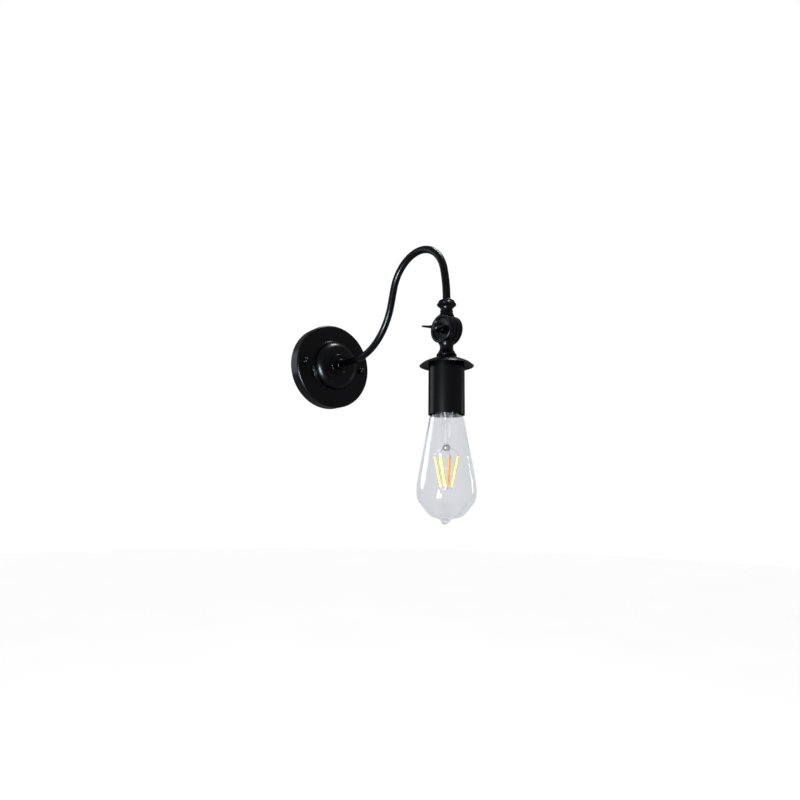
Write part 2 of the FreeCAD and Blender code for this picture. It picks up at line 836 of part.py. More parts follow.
def make_knuckle():
    """The two halves, the friction ring between them and the neck turned on each."""
    shank = d.shank_diameter / 2
    top = d.upper_top
    rim = d.upper_rim
    ring = top - d.neck_ring
    upper = knuckle_half("knuckle_upper", shank + d.running_fit, [
        (0.0, d.cavity_radius),
        (d.neck_foot, d.cavity_radius),
        (d.neck_foot, d.disc_radius - 0.5, 4.0),
        (d.neck_waist, ring),
        (d.neck_waist + 0.6, ring + 0.3, 0.3),
        (d.neck_waist + 0.6, ring + 1.4, 0.3),
        (d.neck_waist, ring + 1.7),
        (d.neck_waist, top - 10.0, 4.0),
        (rim, top - 6.2, 0.5),
        (rim, top - 5.0, 0.5),
        (rim - 1.3, top - 3.8, 0.4),
        (rim - 1.8, top - 1.4, 2.2),
        (tube_radius + 1.3, top, 0.4),
        (0.0, top),
    ])
    bore_neck(upper, d.socket_drop, tube_radius, top + 1.0)
    on_pivot(upper)

    base = d.lower_drop
    bead = d.lower_rim
    waist = d.neck_waist + 0.8
    lower = knuckle_half("knuckle_lower", shank + d.running_gap, [
        (0.0, d.cavity_radius),
        (d.neck_foot + 1.0, d.cavity_radius),
        (d.neck_foot + 1.0, d.disc_radius - 2.0, 3.0),
        (waist, base - 13.9, 5.0),
        (waist, base - 9.4, 4.0),
        (waist + 1.7, base - 6.2, 1.5),
        (bead, base - 3.2, 0.5),
        (bead, base - 2.2, 0.5),
        (bead - 1.2, base - 1.0, 0.4),
        (bead - 1.2, base),
        (0.0, base),
    ])
    bore_neck(lower, base - d.nipple_rise, d.nipple_diameter / 2, base + 1.0)
    on_pivot(lower, UPSIDE_DOWN)

    friction = new_body("friction_ring")
    low = -d.parting
    revolve(friction, ring_corners(d.cavity_radius + 0.3, d.disc_radius - 1.0, low, low + d.friction_thick))
    on_pivot(friction, TO_WING)


def make_wing_screw():
    """The screw through both halves: shank, hub and two thin wings, with a spring washer under the hub."""
    shank = d.shank_diameter / 2
    floor = d.disc_half - d.recess_depth
    washer_low = floor + d.running_gap
    washer_high = washer_low + d.spring_washer
    washer = turned("wing_washer", ring_corners(shank + d.running_gap, d.hub_radius + 0.5, washer_low, washer_high))
    on_pivot(washer, TO_WING)

    hub_low = washer_high + d.running_gap
    screw = turned("wing_screw", [
        (0.0, d.disc_edge - d.disc_half),
        (shank, d.disc_edge - d.disc_half, 0.5),
        (shank, hub_low),
        (d.hub_radius, hub_low, 0.3),
        (d.hub_radius, hub_low + 2.2, 0.5),
        (d.hub_radius - 0.9, hub_low + 3.2, 1.0),
        (d.hub_radius - 0.9, hub_low + 4.2, 1.0),
        (d.hub_radius, hub_low + 5.4, 0.5),
        (d.hub_radius, d.hub_end, 2.0),
        (0.0, d.hub_end),
    ])
    wings = new_sketch(screw, "YZ_Plane")
    inner = d.hub_radius - 2.0
    outline(wings, [
        (inner, d.wing_end - 11.2),
        (d.wing_reach - 5.5, d.wing_end - 5.4, 6.0),
        (d.wing_reach, d.wing_end - 3.4, 1.4),
        (d.wing_reach, d.wing_end, 1.4),
        (inner, d.hub_end - 2.2),
    ])
    wing = pad(screw, wings, d.wing_thick, both_ways=True)
    mirror(screw, [wing], "XZ_Plane")
    turn = FreeCAD.Rotation(FreeCAD.Vector(1, 0, 0), number(d.wing_angle))
    on_pivot(screw, turn.multiply(TO_WING))


def make_shades():
    """The dish and the deep-drawn cup under it, both gripped on the nipple."""
    hole = d.nipple_diameter / 2 + thread_play
    seat = -d.lower_drop
    wall = d.dish_wall
    under = seat - wall
    knee = d.dish_radius - 4.4
    knee_z = seat - 6.0
    knee_round = d.dish_round - wall
    dish = turned("shade_dish", [
        (hole, seat),
        (d.seat_radius, seat, 8.0),
        (knee, knee_z, d.dish_round),
        (d.dish_radius, -d.dish_drop),
        (d.dish_radius - wall, -d.dish_drop),
        (knee - 0.7, knee_z - 1.1, knee_round),
        (d.seat_radius - 0.1, under, 8.0 - wall),
        (hole, under),
    ])
    on_pivot(dish)
    skin = d.cup_wall
    top = -d.cup_shoulder
    cup = turned("socket_cup", [
        (hole, under),
        (d.seat_radius - 1.0, under, 1.2),
        (d.seat_radius + 1.0, top, 1.2),
        (d.cup_radius, top, 2.5),
        (d.cup_radius, -d.cup_drop),
        (d.cup_radius - skin, -d.cup_drop),
        (d.cup_radius - skin, top - skin, 2.5 - skin),
        (d.seat_radius + 0.4, top - skin, 0.8),
        (d.seat_radius - 1.6, under - skin, 0.6),
        (hole, under - skin),
    ])
    on_pivot(cup)


def make_head_fixing():
    """The hollow nipple that holds the head together, with the washer and locknut under the cup."""
    radius = d.nipple_diameter / 2
    bore = d.nipple_bore / 2
    nipple = turned("head_nipple", ring_corners(bore, radius, -d.nipple_drop, d.nipple_rise - d.lower_drop))
    on_pivot(nipple)
    under = -(d.lower_drop + d.dish_wall + d.cup_wall)
    washer_low = under - d.washer_height
    on_pivot(turned("head_washer", ring_corners(radius, d.washer_radius, washer_low, under)))
    nut_low = washer_low - d.locknut_height
    on_pivot(hex_nut("head_locknut", d.locknut_flats, d.locknut_height, radius, nut_low))


def make_lampholder():
    """The moulded lampholder with its bridge, screw shell, centre contact and terminals."""
    top = -d.holder_top
    floor = -d.holder_floor
    mouth = d.holder_mouth
    holder = turned("lampholder_body", [
        (0.0, top),
        (d.holder_radius, top, 1.0),
        (d.holder_radius, -d.holder_drop, 1.0),
        (mouth, -d.holder_drop),
        (mouth, floor),
        (0.0, floor),
    ])
    slot_floor = -(d.holder_top + d.slot_depth)
    wiring = new_sketch(holder, "XY_Plane", lift=slot_floor)
    half = d.bridge_width / 2 - 1.0
    outline(wiring, box_corners(-half, -d.holder_radius - 2.0, half, d.holder_radius + 2.0))
    slot = feature(holder, "PartDesign::Pocket", wiring)
    slot.Type = "ThroughAll"
    slot.Reversed = True
    taps = new_sketch(holder, "XY_Plane", lift=slot_floor - 1.0)
    screw_x = d.bridge_screw_across / 2
    screw_radius = d.clamp_diameter / 2
    circle(taps, screw_x, 0.0, screw_radius)
    circle(taps, -screw_x, 0.0, screw_radius)
    tapped = feature(holder, "PartDesign::Pocket", taps)
    tapped.Type = "ThroughAll"
    tapped.Reversed = True
    on_pivot(holder)

    bridge = new_body("lampholder_bridge")
    strap = new_sketch(bridge, "XY_Plane", lift=top)
    half_long = d.bridge_length / 2
    half_wide = d.bridge_width / 2
    outline(strap, [
        (-half_long, -half_wide, 3.0), (half_long, -half_wide, 3.0),
        (half_long, half_wide, 3.0), (-half_long, half_wide, 3.0),
    ])
    circle(strap, 0.0, 0.0, d.nipple_diameter / 2)
    circle(strap, screw_x, 0.0, screw_radius)
    circle(strap, -screw_x, 0.0, screw_radius)
    pad(bridge, strap, d.bridge_thick)
    boss_low = top + d.bridge_thick
    revolve(bridge, ring_corners(d.nipple_diameter / 2, d.bridge_boss, boss_low - 0.2, boss_low + 4.5))
    on_pivot(bridge)

    screws = new_body("bridge_screws")
    screw = revolve(screws, [
        (0.0, slot_floor - 1.0),
        (screw_radius, slot_floor - 1.0),
        (screw_radius, boss_low),
        (screw_radius * 1.8, boss_low),
        (screw_radius * 1.8, boss_low + 1.8, 1.0),
        (0.0, boss_low + 1.8),
    ], x=screw_x)
    mirror(screws, [screw])
    on_pivot(screws)

    skin = d.shell_wall
    shell_top = floor - 2.0
    shell = turned("screw_shell", [
        (mouth - 5.0, shell_top),
        (mouth, shell_top),
        (mouth, -(d.holder_drop - 2.0)),
        (mouth - skin, -(d.holder_drop - 2.0)),
        (mouth - skin, shell_top - skin, 0.8),
        (mouth - 5.0, shell_top - skin),
    ])
    on_pivot(shell)

    contact = new_body("centre_contact")
    strip = new_sketch(contact, "XZ_Plane")
    tongue = -(d.cap_drop - d.tip_rise - d.running_gap)
    outline(strip, [
        (9.0, floor), (3.0, floor), (-3.0, tongue + 0.5), (-3.0, tongue), (3.1, floor - 0.45), (9.0, floor - 0.45),
    ])
    pad(contact, strip, 6.0, both_ways=True)
    on_pivot(contact)

    terminals = new_body("holder_terminals")
    across = d.terminal_across / 2
    blocks = new_sketch(terminals, "XY_Plane", y=across, lift=slot_floor)
    outline(blocks, box_corners(-2.5, -2.5, 2.5, 2.5))
    circle(blocks, 0.0, 0.0, screw_radius)
    block = pad(terminals, blocks, d.slot_depth - 1.0)
    mirror(terminals, [block], "XZ_Plane")
    on_pivot(terminals)
    terminal_screws = new_body("holder_screws")
    shank = new_sketch(terminal_screws, "XY_Plane", y=across, lift=slot_floor)
    circle(shank, 0.0, 0.0, screw_radius)
    post = pad(terminal_screws, shank, d.slot_depth - 1.0)
    head = new_sketch(terminal_screws, "XY_Plane", y=across, lift=slot_floor + (d.slot_depth - 1.0))
    circle(head, 0.0, 0.0, screw_radius * 1.6)
    cap = pad(terminal_screws, head, 1.5)
    mirror(terminal_screws, [post, cap], "XZ_Plane")
    on_pivot(terminal_screws)


def make_bulb():
    """The bulb: a screw cap with its insulator and contact, a pear-shaped envelope, and what it holds."""
    cap_radius = d.cap_diameter / 2
    crown = -d.cap_drop
    cap_low = crown - d.cap_length
    groove = cap_radius - 0.8
    skin = d.shell_wall
    profile = [(cap_radius - 3.2, crown), (groove, crown - 2.0, 0.6)]
    for turn in range(CAP_RIDGES):
        ridge = crown - 2.4 - (turn + 0.5) * d.cap_pitch
        profile.append((cap_radius, ridge, 1.2))
        profile.append((groove, ridge - d.cap_pitch / 2, 1.2))
    profile[-1] = (groove, crown - 2.4 - CAP_RIDGES * d.cap_pitch)
    profile += [
        (groove, cap_low), (groove - skin, cap_low), (groove - skin, crown - 2.4, 0.4),
        (cap_radius - 3.2, crown - skin),
    ]
    on_pivot(turned("bulb_cap", profile))
    tip = crown + d.tip_rise
    inner = cap_radius - 3.2
    on_pivot(turned("bulb_insulator", [
        (0.0, crown - skin), (inner, crown - skin), (inner, crown), (5.2, tip - 1.5), (0.0, tip - 1.5),
    ]))
    seat = tip - 1.5 + d.running_fit
    on_pivot(turned("bulb_contact", [(0.0, seat), (4.8, seat), (4.8, tip, 1.0), (0.0, tip)]))

    neck = groove - skin
    neck_top = cap_low + 5.0
    glass = d.glass_wall
    shoulder = -d.bulb_shoulder
    belly = -d.bulb_belly
    turn_z = -d.bulb_turn
    end = -d.bulb_end
    wide = d.bulb_radius
    on_pivot(turned("bulb_glass", [
        (neck, neck_top),
        (neck, cap_low - 0.6, 1.0),
        (d.bulb_neck, shoulder, 5.0),
        (wide + 0.35, belly, d.belly_round),
        (wide, turn_z, d.end_round),
        (d.end_radius, end + d.end_rise, d.tip_round),
        (5.6, end + 2.0, 4.0),
        (3.2, end - 3.0, 2.6),
        (0.0, end - 3.0),
        (0.0, end + 1.6),
        (d.end_radius - 0.4, end + d.end_rise + glass, d.tip_round - glass),
        (wide - glass, turn_z + 0.3, d.end_round - glass),
        (wide + 0.35 - glass, belly, d.belly_round - glass),
        (d.bulb_neck - glass, shoulder - 0.5, 5.9),
        (neck - glass, cap_low - 1.1, 0.6),
        (neck - glass, neck_top),
    ]))

    rod = d.rod_radius
    flare = cap_low + 2.5
    bead = d.bead_radius
    half = d.bead_half
    bead_z = -d.bead_drop
    on_pivot(turned("bulb_stem", [
        (0.0, flare),
        (neck - glass, flare),
        (neck - glass, flare - 1.5),
        (5.4, flare - 8.0, 6.0),
        (3.6, bead_z + 12.0, 6.0),
        (2.8, bead_z + half + 0.8, 1.0),
        (rod, bead_z + half + 0.1),
        (rod, -(d.filament_bottom + 2.5)),
        (0.0, -(d.filament_bottom + 2.5)),
    ]))
    curve = half - 0.4
    on_pivot(turned("stem_bead", [
        (rod, bead_z + half), (bead, bead_z + half, curve), (bead, bead_z - half, curve), (rod, bead_z - half),
    ]))
    turn = FreeCAD.Rotation(FreeCAD.Vector(0, 0, 1), number(d.filament_angle))
    high = -d.filament_top
    low = -d.filament_bottom
    wire = d.support_wire / 2
    fans = [
        ("led_filaments", "XY_Plane", d.filament_diameter / 2, (d.filament_spread, high), (d.filament_waist, low)),
        ("filament_hooks", "YZ_Plane", wire, (bead, bead_z), (d.filament_spread, high + wire + 0.1)),
        ("filament_links", "YZ_Plane", wire, (rod, low - 1.8), (d.filament_waist, low - wire - 0.1)),
    ]
    for label, role, radius, (x0, z0), (x1, z1) in fans:
        body = new_body(label)
        spine = new_sketch(body, "XZ_Plane")
        line = spine.addGeometry(Part.LineSegment(vector(x0, z0), vector(x1, z1)), False)
        bind(spine, "DistanceX", line, 1, x0)
        bind(spine, "DistanceY", line, 1, z0)
        bind(spine, "DistanceX", line, 2, x1)
        bind(spine, "DistanceY", line, 2, z1)
        if role == "XY_Plane":
            section = new_sketch(body, role, x=x0, lift=z0)
            circle(section, 0.0, 0.0, radius)
        else:
            section = new_sketch(body, role, y=z0, lift=x0)
            circle(section, 0.0, 0.0, radius)
        stick = feature(body, "PartDesign::AdditivePipe", section)
        stick.Spine = (spine, ["Edge1"])
        fan = body.newObject("PartDesign::PolarPattern", f"{label}_fan")
        fan.Originals = [stick]
        fan.Axis = (next(axis for axis in body.Origin.OriginFeatures if axis.Role == "Z_Axis"), [""])
        fan.Angle = 360
        fan.Occurrences = FILAMENTS
        body.Tip = fan
        on_pivot(body, turn)

    board = new_body("bulb_driver")
    plate = new_sketch(board, "XZ_Plane")
    reach = neck - d.running_gap
    outline(plate, box_corners(-reach, neck_top + d.running_gap, reach, crown - 4.0))
    pad(board, plate, 1.2, both_ways=True)
    on_pivot(board)


def bent_wire(points, bend):
    """Straight runs through the points, joined by tangent arcs of one radius."""
    edges = []
    here = points[0]
    for before, corner, after in zip(points, points[1:], points[2:]):
        start, middle, end = round_corner(before, corner, after, bend)
        edges.append(Part.LineSegment(here, start).toShape())
        edges.append(Part.Arc(start, middle, end).toShape())
        here = end
    edges.append(Part.LineSegment(here, points[-1]).toShape())
    return Part.Wire(edges)


def leads(label, routes, bend, rotation, y=0.0, z=0.0):
    """Insulated cores of one diameter, one solid along each route."""
    radius = number(core_radius)
    solids = []
    for route in routes:
        points = [vector(*point) for point in route]
        wire = bent_wire(points, number(bend))
        section = Part.Wire(Part.makeCircle(radius, points[0], points[1] - points[0]))
        solids.append(wire.makePipeShell([section], True, False))
    piece = doc.addObject("Part::Feature", label)
    piece.Label = label
    piece.Shape = Part.makeCompound(solids)
    place(piece, y=y, z=z, rotation=rotation)


def make_leads():
    """The cores from the block into the flex, from the flex into the knuckle, and on to the lampholder."""
    way_depth = d.bracket_thick + d.block_depth / 2
    way_end = -(d.block_top + 5.0)
    spread = d.core_spread
    flex_start = d.arm_start - d.bush_flange - 1.0
    pitch = d.way_pitch
    supply = []
    for side in (-1, 1):
        supply.append([
            (side * pitch, way_end, way_depth),
            (side * pitch, way_end + 11.0, way_depth),
            (side * spread, 0.0, way_depth + 1.5),
            (side * spread, 0.0, flex_start),
        ])
    leads("supply_cores", supply, d.core_bend, OUT_OF_WALL)
    barrel_end = -(d.tag_radius + 4.0)
    barrel_out = d.bracket_thick + d.core_diameter / 2 + 0.3
    earth = [
        (0.0, way_end, way_depth),
        (0.0, way_end + 10.0, way_depth),
        (d.earth_across, barrel_end - 5.7, barrel_out),
        (d.earth_across, barrel_end, barrel_out),
    ]
    leads("earth_core", [earth], d.core_bend * 0.8, OUT_OF_WALL)

    beside = (d.parting + d.cavity_depth) / 2 + 0.1
    round_boss = d.boss_radius + 1.6
    turn_in = d.cavity_radius - 0.8
    upper = []
    lower = []
    for side in (-1, 1):
        upper.append([
            (beside, side * spread, d.socket_drop),
            (beside, side * spread, turn_in),
            (beside, side * round_boss, 1.0),
        ])
        lower.append([
            (-beside, side * round_boss, -1.0),
            (-beside, side * spread, -turn_in),
            (-beside, side * spread, -turn_in - 3.0),
            (0.0, side * spread, -(d.lower_drop - d.nipple_rise + 2.0)),
            (0.0, side * spread, -(d.holder_top + d.slot_depth / 2)),
            (0.0, side * (d.terminal_across / 2 - 2.5), -(d.holder_top + d.slot_depth / 2)),
        ])
    leads("arm_cores", upper, d.core_bend, UPRIGHT, y=-d.arm_reach, z=d.pivot_height)
    leads("head_cores", lower, d.core_bend / 2, UPRIGHT, y=-d.arm_reach, z=d.pivot_height)


def finish_and_write():
    """Checks every object, then writes each piece to its own file."""
    doc.recompute()
    for item in doc.Objects:
        if "Invalid" in item.State or "Error" in item.State:
            raise RuntimeError(f"{item.Label} failed: {item.State}")
    os.makedirs("parts", exist_ok=True)
    for piece in pieces:
        shape = piece.Shape
        if shape.isNull() or not shape.isValid() or not shape.Solids:
            raise RuntimeError(f"{piece.Label} has no valid solid")
        shape.exportStep(os.path.join("parts", f"{piece.Label}.step"))
        print(piece.Label, len(shape.Solids), round(shape.Volume, 1))


make_backplate()
make_arm_root()
make_arm()
make_bracket()
make_studs()
make_terminal_block()
make_earth()
make_knuckle()
make_wing_screw()
make_shades()
make_head_fixing()
make_lampholder()
make_bulb()
make_leads()
finish_and_write()
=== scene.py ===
# %% [markdown]
# # A gooseneck wall lamp with a clear filament bulb
# This lesson dresses a finished frame of solids: a round wall plate, a bent arm, a clamped knuckle and a
# hanging lamp head with its bulb. The frame already has the true sizes and the moving joints, so nothing
# here moves it. We give its solids their finishes and build anew the pieces whose charm is in small
# detail: blown glass, rolled threads, yellow filaments, a cast wing screw and soft insulated leads.

# %% Load the frame
import json
import math

import bmesh
import bpy
from mathutils import Matrix, Vector

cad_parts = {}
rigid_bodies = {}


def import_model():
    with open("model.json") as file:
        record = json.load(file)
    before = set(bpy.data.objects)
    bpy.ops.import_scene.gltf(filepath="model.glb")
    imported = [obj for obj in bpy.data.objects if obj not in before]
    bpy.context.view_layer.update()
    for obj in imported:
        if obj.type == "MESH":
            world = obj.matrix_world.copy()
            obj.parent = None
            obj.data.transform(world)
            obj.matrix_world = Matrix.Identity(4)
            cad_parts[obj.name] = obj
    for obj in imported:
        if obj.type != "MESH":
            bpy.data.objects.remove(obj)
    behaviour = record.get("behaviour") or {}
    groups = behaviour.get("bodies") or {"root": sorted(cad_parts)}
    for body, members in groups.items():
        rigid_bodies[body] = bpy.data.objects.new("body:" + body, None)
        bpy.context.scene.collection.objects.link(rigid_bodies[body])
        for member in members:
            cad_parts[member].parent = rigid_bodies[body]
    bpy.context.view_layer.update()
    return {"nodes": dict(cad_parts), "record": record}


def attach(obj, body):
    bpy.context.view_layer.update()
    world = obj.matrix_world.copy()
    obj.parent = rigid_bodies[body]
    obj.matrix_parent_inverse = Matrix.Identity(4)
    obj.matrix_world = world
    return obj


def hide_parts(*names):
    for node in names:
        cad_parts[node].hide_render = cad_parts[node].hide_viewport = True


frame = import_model()

# %% [markdown]
# ## The camera
# The photograph looks up at the lamp from its left. One perspective solve of the plate, arm and bulb gave
# where the camera stood and which way it faced; a camera is simply a matrix whose columns are its right,
# its up, its back and its place. Setting the matrix is surer than aiming by hand, because the slight roll
# comes with it.

# %% Stand the camera where the photograph was taken
camera_right = Vector((0.77313, -0.63407, 0.01483))
camera_up = Vector((-0.12081, -0.12427, 0.98487))
camera_back = Vector((-0.62264, -0.76322, -0.17268))
camera_place = Vector((-0.4319, -0.6983, -0.18796))
photo_camera = bpy.data.objects.new("photo_camera", bpy.data.cameras.new("photo_camera"))
bpy.context.scene.collection.objects.link(photo_camera)
photo_camera.data.sensor_width = 36.0
photo_camera.data.lens = 25.637
photo_camera.data.clip_start = 0.01
columns = (camera_right, camera_up, camera_back, camera_place)
photo_camera.matrix_world = Matrix([[column[i] for column in columns] for i in range(3)] + [[0, 0, 0, 1]])
bpy.context.scene.camera = photo_camera
print("camera to the lamp head:", round((camera_place - Vector((0, -0.25, -0.05))).length, 3), "m")

# %% [markdown]
# ## Lathe work
# Most of this lamp is round: spun plates, turned collars, blown glass. So the first tool is a lathe. It
# takes an outline of (radius, height) corners in millimetres, turns each corner that names a third number
# into a small arc of that radius, and spins the outline into a mesh. Small arcs matter: a bare corner
# never catches the light, and a real one always does.

# %% Round the corners of an outline
MM = 0.001


def arc(centre, start, end, steps):
    """Points along the short arc about a centre, from start to end."""
    first, last = start - centre, end - centre
    sweep = first.angle(last)
    points = []
    for k in range(steps + 1):
        share = k / steps
        of_first = math.sin((1 - share) * sweep) / math.sin(sweep)
        of_last = math.sin(share * sweep) / math.sin(sweep)
        points.append(centre + first * of_first + last * of_last)
    return points


def eased(before, here, after, radius, steps):
    """Points along the arc of this radius that takes the place of a bare corner."""
    back, on = (before - here).normalized(), (after - here).normalized()
    half = back.angle(on) / 2
    reach = radius / math.tan(half)
    centre = here + (back + on).normalized() * (radius / math.sin(half))
    return arc(centre, here + back * reach, here + on * reach, steps)


def rounded(corners, steps=6):
    """The closed outline with each (radius, height, arc) corner replaced by points along its arc."""
    line = []
    for i, corner in enumerate(corners):
        here = Vector(corner[:2])
        if len(corner) < 3:
            line.append(here)
            continue
        after = Vector(corners[(i + 1) % len(corners)][:2])
        line += eased(Vector(corners[i - 1][:2]), here, after, corner[2], steps)
    return line


square = [(0, 0, 1), (9, 0, 1), (9, 9, 1), (0, 9, 1)]
print("a square with four rounded corners has", len(rounded(square)), "points")

# %% Join rings of points into a mesh
def as_piece(name, mesh_data, sharp=35.0):
    """A smooth-shaded object from a bmesh, with edges left sharp above an angle."""
    bmesh.ops.remove_doubles(mesh_data, verts=mesh_data.verts, dist=1e-7)
    bmesh.ops.recalc_face_normals(mesh_data, faces=mesh_data.faces)
    mesh = bpy.data.meshes.new(name)
    mesh_data.to_mesh(mesh)
    mesh_data.free()
    mesh.shade_smooth()
    mesh.set_sharp_from_angle(angle=math.radians(sharp))
    piece = bpy.data.objects.new(name, mesh)
    bpy.context.scene.collection.objects.link(piece)
    return piece


def skin(rings, closed=True):
    """A bmesh whose rings of points are joined one to the next; a ring of one point closes a tip."""
    mesh_data = bmesh.new()
    made = [[mesh_data.verts.new(point) for point in ring] for ring in rings]
    pairs = list(zip(made, made[1:])) + ([(made[-1], made[0])] if closed else [])
    for low, high in pairs:
        if len(low) == 1 and len(high) == 1:
            continue
        for k in range(max(len(low), len(high))):
            below = [low[k % len(low)], low[(k + 1) % len(low)]]
            above = [high[(k + 1) % len(high)], high[k % len(high)]]
            mesh_data.faces.new(dict.fromkeys(below + above))
    return mesh_data


def ring_at(centre, across, along, radius, sides):
    """Points round a circle in the plane of two directions, or its centre alone if it has no radius."""
    if radius < 1e-6:
        return [centre]
    turns = [math.tau * k / sides for k in range(sides)]
    return [centre + across * (radius * math.cos(a)) + along * (radius * math.sin(a)) for a in turns]


print("rings of points can be joined")

# %% Name the directions and the places that things are measured from
EAST, NORTH, UP = Vector((1, 0, 0)), Vector((0, 1, 0)), Vector((0, 0, 1))
PIVOT = Vector((0.0, -0.2502, 0.002))
TO_WING = -EAST


def from_pivot(x, y, z):
    """A place given in millimetres from the knuckle's pivot."""
    return PIVOT + Vector((x, y, z)) * MM


def on_wall(x, up, out):
    """A place given in millimetres from the centre of the wall plate's back."""
    return Vector((x, -out, up)) * MM


def sideways(axis):
    """Two directions square to an axis and to each other."""
    across = NORTH if abs(axis.dot(NORTH)) < 0.5 else EAST
    return across, axis.cross(across)


print("the knuckle's pivot is at", tuple(PIVOT))


# %% Spin an outline on the lathe
def turned_rings(line, centre=PIVOT, axis=UP, sides=96):
    """One ring for each (radius, height) of an outline that is turned about an axis."""
    across, along = sideways(axis)
    return [ring_at(centre + axis * (z * MM), across, along, r * MM, sides) for r, z in line]


def lathe(name, line, centre=PIVOT, axis=UP, sides=96, sharp=35.0):
    """Spins (radius, height) points about an axis through centre, and makes the piece."""
    return as_piece(name, skin(turned_rings(line, centre, axis, sides)), sharp)


print("lathe ready")


# %% Hand pieces over, alone or made into one
def hand_over(piece, slot, body, *nodes):
    """Gives a piece its finish, its moving body and the solids it stands for."""
    if not piece.data.materials:
        piece.data.materials.append(finishes[slot])
    if nodes:
        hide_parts(*nodes)
    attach(piece, body)
    print(piece.name, len(piece.data.polygons), "faces, rides on", body)


def as_one(name, parts, sharp=35.0):
    """Several pieces made into one, which keeps each one's own faces."""
    together = bmesh.new()
    for part in parts:
        together.from_mesh(part.data)
        bpy.data.objects.remove(part)
    return as_piece(name, together, sharp)


# %% [markdown]
# ## Finishes
# A finish is a node material: noise gives the small unevenness that no coat or plating is without, and
# values that are the same all over sit on the shader itself. All textures read object coordinates, in
# metres, so a pattern has its real size on every piece and stays put when a joint moves.

# %% A small kit for mixing finishes
finishes = {}


class Finish:
    """One material and the few node moves that every finish here is mixed from."""

    def __init__(self, slot, **values):
        self.material = bpy.data.materials.new(slot)
        self.material.use_nodes = True
        self.tree = self.material.node_tree
        self.shader = self.tree.nodes["Principled BSDF"]
        self.place = self.node("ShaderNodeTexCoord").outputs["Object"]
        for socket, value in values.items():
            self.shader.inputs[socket.replace("_", " ")].default_value = value
        finishes[slot] = self.material

    def node(self, kind, **values):
        """A new node in this material, with some of its values set."""
        made = self.tree.nodes.new(kind)
        for name, value in values.items():
            setattr(made, name, value)
        return made

    def link(self, output, target):
        """Joins one socket to another."""
        self.tree.links.new(output, target)

    def grain(self, size_mm, detail=2.0):
        """Noise whose features are about this size."""
        texture = self.node("ShaderNodeTexNoise")
        texture.inputs["Scale"].default_value = 1.0 / MM / size_mm
        texture.inputs["Detail"].default_value = detail
        self.link(self.place, texture.inputs["Vector"])
        return texture.outputs["Fac"]

    def ramp(self, source, stops):
        """A colour ramp over a source, from (position, colour) stops."""
        ramp = self.node("ShaderNodeValToRGB")
        while len(ramp.color_ramp.elements) < len(stops):
            ramp.color_ramp.elements.new(0.5)
        for element, (position, colour) in zip(ramp.color_ramp.elements, stops):
            element.position = position
            element.color = (*colour, 1.0)
        self.link(source, ramp.inputs["Fac"])
        return ramp.outputs["Color"]

    def colour(self, source, stops):
        """The finish's own colour, from a source and its stops."""
        self.link(self.ramp(source, stops), self.shader.inputs["Base Color"])
        return self

    def uneven(self, socket, source, low, high):
        """Lets a shader value wander between two limits."""
        span = self.node("ShaderNodeMapRange")
        span.inputs["From Min"].default_value = 0.3
        span.inputs["From Max"].default_value = 0.7
        span.inputs["To Min"].default_value = low
        span.inputs["To Max"].default_value = high
        self.link(source, span.inputs["Value"])
        self.link(span.outputs["Result"], self.shader.inputs[socket])
        return self

    def relief(self, source, height_mm, strength=1.0):
        """Raises the surface by a texture."""
        bump = self.node("ShaderNodeBump")
        bump.inputs["Distance"].default_value = height_mm * MM
        bump.inputs["Strength"].default_value = strength
        self.link(source, bump.inputs["Height"])
        self.link(bump.outputs["Normal"], self.shader.inputs["Normal"])
        return self


print("the kit mixes a finish from colour, unevenness and relief")

# %% [markdown]
# ### Black enamel
# Everything metal that you can see is sprayed with a thin satin black. Its colour is nearly nothing, so
# what we read as the lamp's shape is the light lying on it: soft, a little cold, and gently broken by the
# orange peel that sprayed paint keeps when it dries. That is a matter of roughness and a very low relief.
# The white studio shows in every reflection, and real paint would turn grey in it. So the shader's own
# reflection is off and a thin coat gives back far less than paint does. Strong lamps that show only in
# reflections, further down, draw the highlights in its place.

# %% Satin black enamel
enamel = Finish("black_enamel", Specular_IOR_Level=0.0, Coat_Weight=0.12, Coat_Roughness=0.26)
cloud = enamel.grain(22.0, 3.0)
enamel.colour(cloud, [(0.35, (0.0006, 0.0006, 0.0012)), (0.7, (0.0014, 0.0013, 0.0022))])
enamel.uneven("Roughness", enamel.grain(12.0, 1.0), 0.24, 0.32)
enamel.relief(enamel.grain(9.0, 0.0), 0.006, 0.15)
enamel.link(enamel.shader.inputs["Normal"].links[0].from_socket, enamel.shader.inputs["Coat Normal"])
print("enamel mixed")

# %% [markdown]
# ### Plated and bare metals
# Behind the plate sit parts that nobody polishes: zinc-plated steel with its faint bluish bloom, turned
# brass, phosphor bronze for the spring contact. All are metals, so the colour tints the reflection, and a
# fine grain in the roughness keeps them from looking like chrome.

